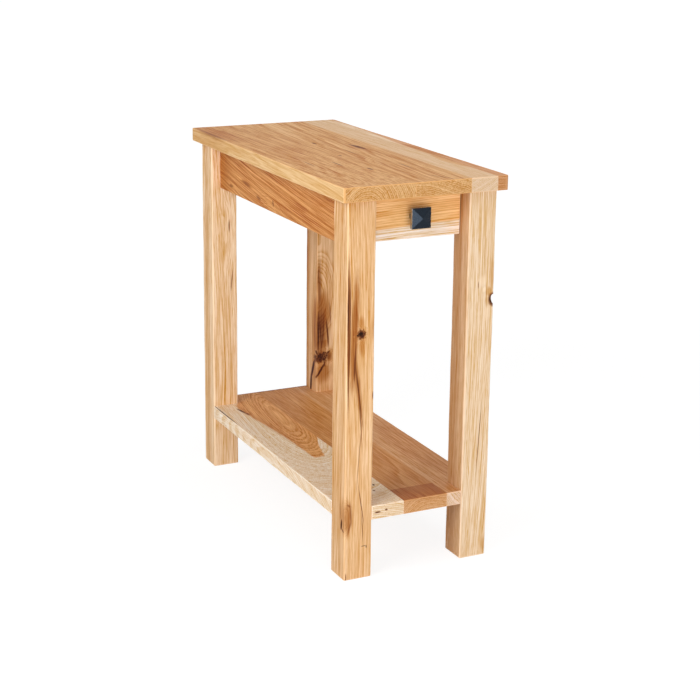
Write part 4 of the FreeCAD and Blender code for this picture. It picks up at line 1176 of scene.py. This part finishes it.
class MakeKnob(bpy.types.Operator):
    """Makes the square iron knob, a low pyramid on a round neck"""
    bl_idname = "rustic_table.knob"
    bl_label = "Knob"

    def execute(self, context):
        colours = settings("table_colours")
        low, high = node_box("knob")
        half = (high[0] - low[0]) / 2
        middle = (low + high) / 2
        neck, flange, flange_thick = 6.5, 9.5, 2.5
        rim_thick, point, soft = 6.0, 5.0, 0.5
        whole = high[1] - low[1]
        rim_front, plate_back = whole - point, whole - point - rim_thick
        # Each station: how far out from the drawer front, half size, and roundness (0 square, 1 round)
        outline = np.array([
            (0.0, flange, 1), (flange_thick - soft, flange, 1), (flange_thick, flange - soft, 1),
            (flange_thick + soft, neck + soft, 1), (flange_thick + 3 * soft, neck, 1),
            (plate_back - 3 * soft, neck, 1), (plate_back - soft, neck + soft, 1),
            (plate_back, neck + 2 * soft, 1), (plate_back, half - 2 * soft, 0.08),
            (plate_back + 0.3 * soft, half - 0.3 * soft, 0.06), (plate_back + soft, half, 0.05),
            (rim_front - soft, half, 0.05), (rim_front - 0.2 * soft, half - 0.2 * soft, 0.04),
            (rim_front + 0.4 * soft, half - soft, 0.03)])
        steps = np.linspace(0.0, 1.0, 14)[1:-1]
        out, size, roundness = outline[-1]
        facets = np.stack([out + (whole - out) * steps, size * (1 - steps),
                           np.full_like(steps, roundness)], axis=1)
        out, size, roundness = np.concatenate([outline, facets]).T
        radii = np.repeat((size * roundness)[:, None], 4, axis=1)
        flat, weight = sections(middle[0] - size, middle[0] + size, middle[2] - size, middle[2] + size,
                                radii, [steps] * 4, arc_steps=6)
        rings, centres = capped(flat, high[1] - out)
        # The point of the pyramid touches the front of the node's box
        centres[1, 2] = low[1]
        points = np.concatenate([rings.reshape(-1, 3), centres])[:, [0, 2, 1]]
        squares, triangles = skin(*rings.shape[:2])
        # The side of the plate's rim takes the worn colour: wear and a painted highlight
        edge = (out > plate_back) & (out < rim_front - 0.1 * soft) & (size > half - soft)
        edge = np.pad(edge.astype(float), len(LIDS), constant_values=0.0)
        wear_and_highlight = np.append(np.repeat(edge, len(weight)), (0.0, 0.0))
        iron = metal("Dark bronze", colours.iron, WORN_AND_HIGHLIGHT_IRON, gloss=0.28, patch=0.5, lines=0.0, relief=0.05)
        knob = place_piece("iron_knob", points, squares, triangles, {"wear_and_highlight": wear_and_highlight}, iron,
                           sharp_degrees=12)
        dress(knob, "drawer", "knob")
        return {"FINISHED"}


class FinishDrawerBox(bpy.types.Operator):
    """Gives the drawer's sides, ends and bottom their pale woods"""
    bl_idname = "rustic_table.drawer_box"
    bl_label = "Drawer Box"

    def execute(self, context):
        colours = settings("table_colours")
        wood = colours.box_wood
        for side, pith in (("left", (-120, 0, 500)), ("right", (120, 0, 600))):
            board = hickory(f"Drawer side {side}", "Y", pith, wood, wood, wander=3.0, line=0.7, streak=0.6)
            finish_nodes(board, f"drawer_side_{side}")
        for end, pith in (("front", (0, -300, 600)), ("back", (0, 260, 480))):
            board = hickory(f"Drawer box {end}", "X", pith, wood, wood, wander=3.0, line=0.7, streak=0.6)
            finish_nodes(board, f"drawer_box_{end}")
        veneers = plywood("Drawer bottom plywood", srgb(228, 200, 160), srgb(190, 150, 105))
        finish_nodes(veneers, "drawer_bottom")
        return {"FINISHED"}


class FinishHiddenWood(bpy.types.Operator):
    """Gives the cross rail, packing strips, buttons and dowels their bare hardwood"""
    bl_idname = "rustic_table.hidden_wood"
    bl_label = "Hidden Wood"

    def execute(self, context):
        plain = settings("table_colours").plain_wood
        along_x = hickory("Bare hardwood across", "X", (0, -180, 700), plain, plain, wander=4.0, streak=0.7)
        along_y = hickory("Bare hardwood lengthwise", "Y", (0, 0, 700), plain, plain, wander=4.0, streak=0.7)
        finish_nodes(along_x, "front_cross_rail", "shelf_dowels")
        finish_nodes(along_y, "top_buttons", *(f"slide_packing_strip_{side}" for side in SIDES))
        return {"FINISHED"}


class FinishSlides(bpy.types.Operator):
    """Gives the ball-bearing slides their plated steel"""
    bl_idname = "rustic_table.slides"
    bl_label = "Drawer Slides"

    def execute(self, context):
        steel = settings("table_colours").steel
        plated = metal("Plated slide steel", steel, BRIGHT_STEEL, gloss=0.34, patch=0.35, lines=0.4,
                       relief=0.03)
        cage = metal("Cage steel", CAGE_STEEL, BRIGHT_STEEL, gloss=0.4, patch=0.3, lines=0.2, relief=0.03)
        ball = metal("Ball steel", BALL_STEEL, BRIGHT_STEEL, gloss=0.12, patch=0.1, lines=0.0, relief=0.01)
        for side in SIDES:
            members = (f"slide_{member}_member_{side}" for member in ("cabinet", "middle", "drawer"))
            finish_nodes(plated, *members)
            finish_nodes(cage, f"slide_outer_cage_{side}", f"slide_inner_cage_{side}")
            finish_nodes(ball, f"slide_outer_balls_{side}", f"slide_inner_balls_{side}")
        return {"FINISHED"}


class FinishScrews(bpy.types.Operator):
    """Gives the screws their plated steel"""
    bl_idname = "rustic_table.screws"
    bl_label = "Screws"

    def execute(self, context):
        steel = settings("table_colours").steel
        screw = metal("Screw steel", steel, BRIGHT_STEEL, gloss=0.3, patch=0.5, lines=0.1, relief=0.03)
        finish_nodes(screw, "cross_rail_screws", "top_button_screws", "drawer_front_screws", "knob_screw")
        for side in SIDES:
            finish_nodes(screw, *(f"{kind}_screws_{side}" for kind in
                                  ("packing_strip", "cabinet_member", "drawer_member")))
        return {"FINISHED"}


class SetStage(bpy.types.Operator):
    """Lays the pale floor, hangs the soft lamps and sets the camera"""
    bl_idname = "rustic_table.stage"
    bl_label = "Floor, Lamps and Camera"

    def execute(self, context):
        studio = settings("table_studio")
        context.scene.view_settings.view_transform = "Standard"
        lay_floor(studio)
        light_room(studio)
        for name, place, aim, size, setting in SOFT_BOXES:
            soft_box(name, place, aim, size, getattr(studio, setting))
        set_camera(studio)
        return {"FINISHED"}


# Name, place, aim, size and brightness setting of each lamp, in metres
SOFT_BOXES = (
    ("Front soft box", (-0.72, -2.4, 0.5), (0, 0, 0.42), (1.5, 1.0), "front_lamp"),
    ("Left soft box", (-1.8, -0.9, 1.45), (0, 0, 0.3), (1.1, 1.1), "left_lamp"),
    ("Top soft box", (0.45, -0.15, 2.5), (0, 0, 0.5), (1.0, 1.0), "top_lamp"),
)
# Half width of the floor in metres, how much of a shadow it shows to the eye, how brightly it glows near
# the table and far from it, and from where to where the glow grows, in metres
FLOOR_REACH = 20.0
SHADOW_SHARE = 0.22
FLOOR_GLOW = (0.86, 0.94)
GLOW_SPAN = (0.5, 3.0)
# Place in metres, angles in degrees, sensor width in millimetres and lens shift of the camera
CAMERA_PLACE = (-1.105608, -2.304924, 1.032938)
CAMERA_ANGLES = (75.43474, -0.64982, -25.94595)
SENSOR_WIDTH = 36.0
LENS_SHIFT = -0.08


def seen_by_eye(graph):
    """1 for camera, glossy and transmission rays, and 0 for the rays that light the object."""
    path = graph.add("ShaderNodeLightPath").outputs
    return graph.greatest([path["Is Camera Ray"], path["Is Glossy Ray"], path["Is Transmission Ray"]])


def lay_floor(studio):
    """A wide floor that looks white but still carries the table's shadow."""
    mesh = bpy.data.meshes.new("floor")
    corners = [(FLOOR_REACH * x, FLOOR_REACH * y, 0) for x, y in ((-1, -1), (1, -1), (1, 1), (-1, 1))]
    mesh.from_pydata(corners, [], [(0, 1, 2, 3)])
    floor = into_scene("floor", mesh)
    material, graph = new_material("White floor")
    pale = graph.add("ShaderNodeBsdfDiffuse", {"Color": (studio.floor_tone,) * 3})
    faint = graph.add("ShaderNodeBsdfDiffuse", {"Color": (SHADOW_SHARE,) * 3})
    away = graph.vector("LENGTH", graph.coordinates()["Object"])
    glow_level = graph.fade(away, *GLOW_SPAN, *FLOOR_GLOW)
    glow = graph.add("ShaderNodeEmission", {"Color": (1, 1, 1), "Strength": glow_level})
    seen = graph.add("ShaderNodeAddShader")
    graph.feed(seen.inputs[0], faint.outputs["BSDF"])
    graph.feed(seen.inputs[1], glow.outputs["Emission"])
    either = graph.add("ShaderNodeMixShader", {"Fac": seen_by_eye(graph)})
    graph.feed(either.inputs[1], pale.outputs["BSDF"])
    graph.feed(either.inputs[2], seen.outputs["Shader"])
    graph.add("ShaderNodeOutputMaterial", {"Surface": either.outputs["Shader"]})
    mesh.materials.append(material)


def light_room(studio):
    """Even light from all round, and pure white where the eye sees past the floor."""
    world = bpy.data.worlds.new("White room")
    bpy.context.scene.world = world
    world.use_nodes = True
    world.node_tree.nodes.clear()
    graph = Graph(world.node_tree)
    level = graph.fade(seen_by_eye(graph), 0.0, 1.0, studio.room, 1.0)
    light = graph.add("ShaderNodeBackground", {"Color": (1, 1, 1), "Strength": level})
    graph.add("ShaderNodeOutputWorld", {"Surface": light.outputs["Background"]})


def soft_box(name, place, aim, size, brightness):
    """A rectangular lamp. Its power is brightness times pi times its area, so that a mirror would show it
    with that brightness."""
    lamp = bpy.data.lights.new(name, "AREA")
    lamp.shape = "RECTANGLE"
    lamp.size, lamp.size_y = size
    lamp.energy = brightness * math.pi * size[0] * size[1]
    holder = into_scene(name, lamp)
    holder.location = place
    holder.rotation_euler = (Vector(aim) - Vector(place)).to_track_quat("-Z", "Y").to_euler()
    holder.visible_camera = False


def set_camera(studio):
    """The photograph's viewpoint, with a small shift that keeps the legs nearly upright."""
    camera = bpy.data.cameras.new("Camera")
    camera.lens = studio.focal_length
    camera.sensor_fit = "HORIZONTAL"
    camera.sensor_width = SENSOR_WIDTH
    camera.shift_y = LENS_SHIFT
    holder = into_scene("Camera", camera)
    holder.location = CAMERA_PLACE
    holder.rotation_euler = [math.radians(angle) for angle in CAMERA_ANGLES]
    bpy.context.scene.camera = holder


PIECE_OPERATORS = (SetStage, MakeTopBoards, MakeLegs, MakeShelfBoards, FinishAprons, MakeDrawerFront,
                   MakeKnob, FinishDrawerBox, FinishHiddenWood, FinishSlides, FinishScrews)


class TablePanel(bpy.types.Panel):
    """Lists the table's pieces and settings"""
    bl_idname = "VIEW3D_PT_rustic_table"
    bl_label = "Hickory Table"
    bl_space_type = "VIEW_3D"
    bl_region_type = "UI"
    bl_category = "Hickory Table"

    def draw(self, context):
        for operator in PIECE_OPERATORS:
            self.layout.operator(operator.bl_idname)
        for name in SETTINGS:
            box = self.layout.box()
            group = settings(name)
            for key in type(group).__annotations__:
                box.prop(group, key)


CLASSES = (*SETTINGS.values(), *PIECE_OPERATORS, TablePanel)


def register():
    for kind in CLASSES:
        bpy.utils.register_class(kind)
    for name, kind in SETTINGS.items():
        setattr(bpy.types.Scene, name, bpy.props.PointerProperty(type=kind))


def unregister():
    for name in SETTINGS:
        delattr(bpy.types.Scene, name)
    for kind in reversed(CLASSES):
        bpy.utils.unregister_class(kind)


def main():
    register()
    for maker in GROUP_MAKERS:
        maker()
    for operator in PIECE_OPERATORS:
        family, name = operator.bl_idname.split(".")
        getattr(getattr(bpy.ops, family), name)()


if __name__ == "__main__":
    main()
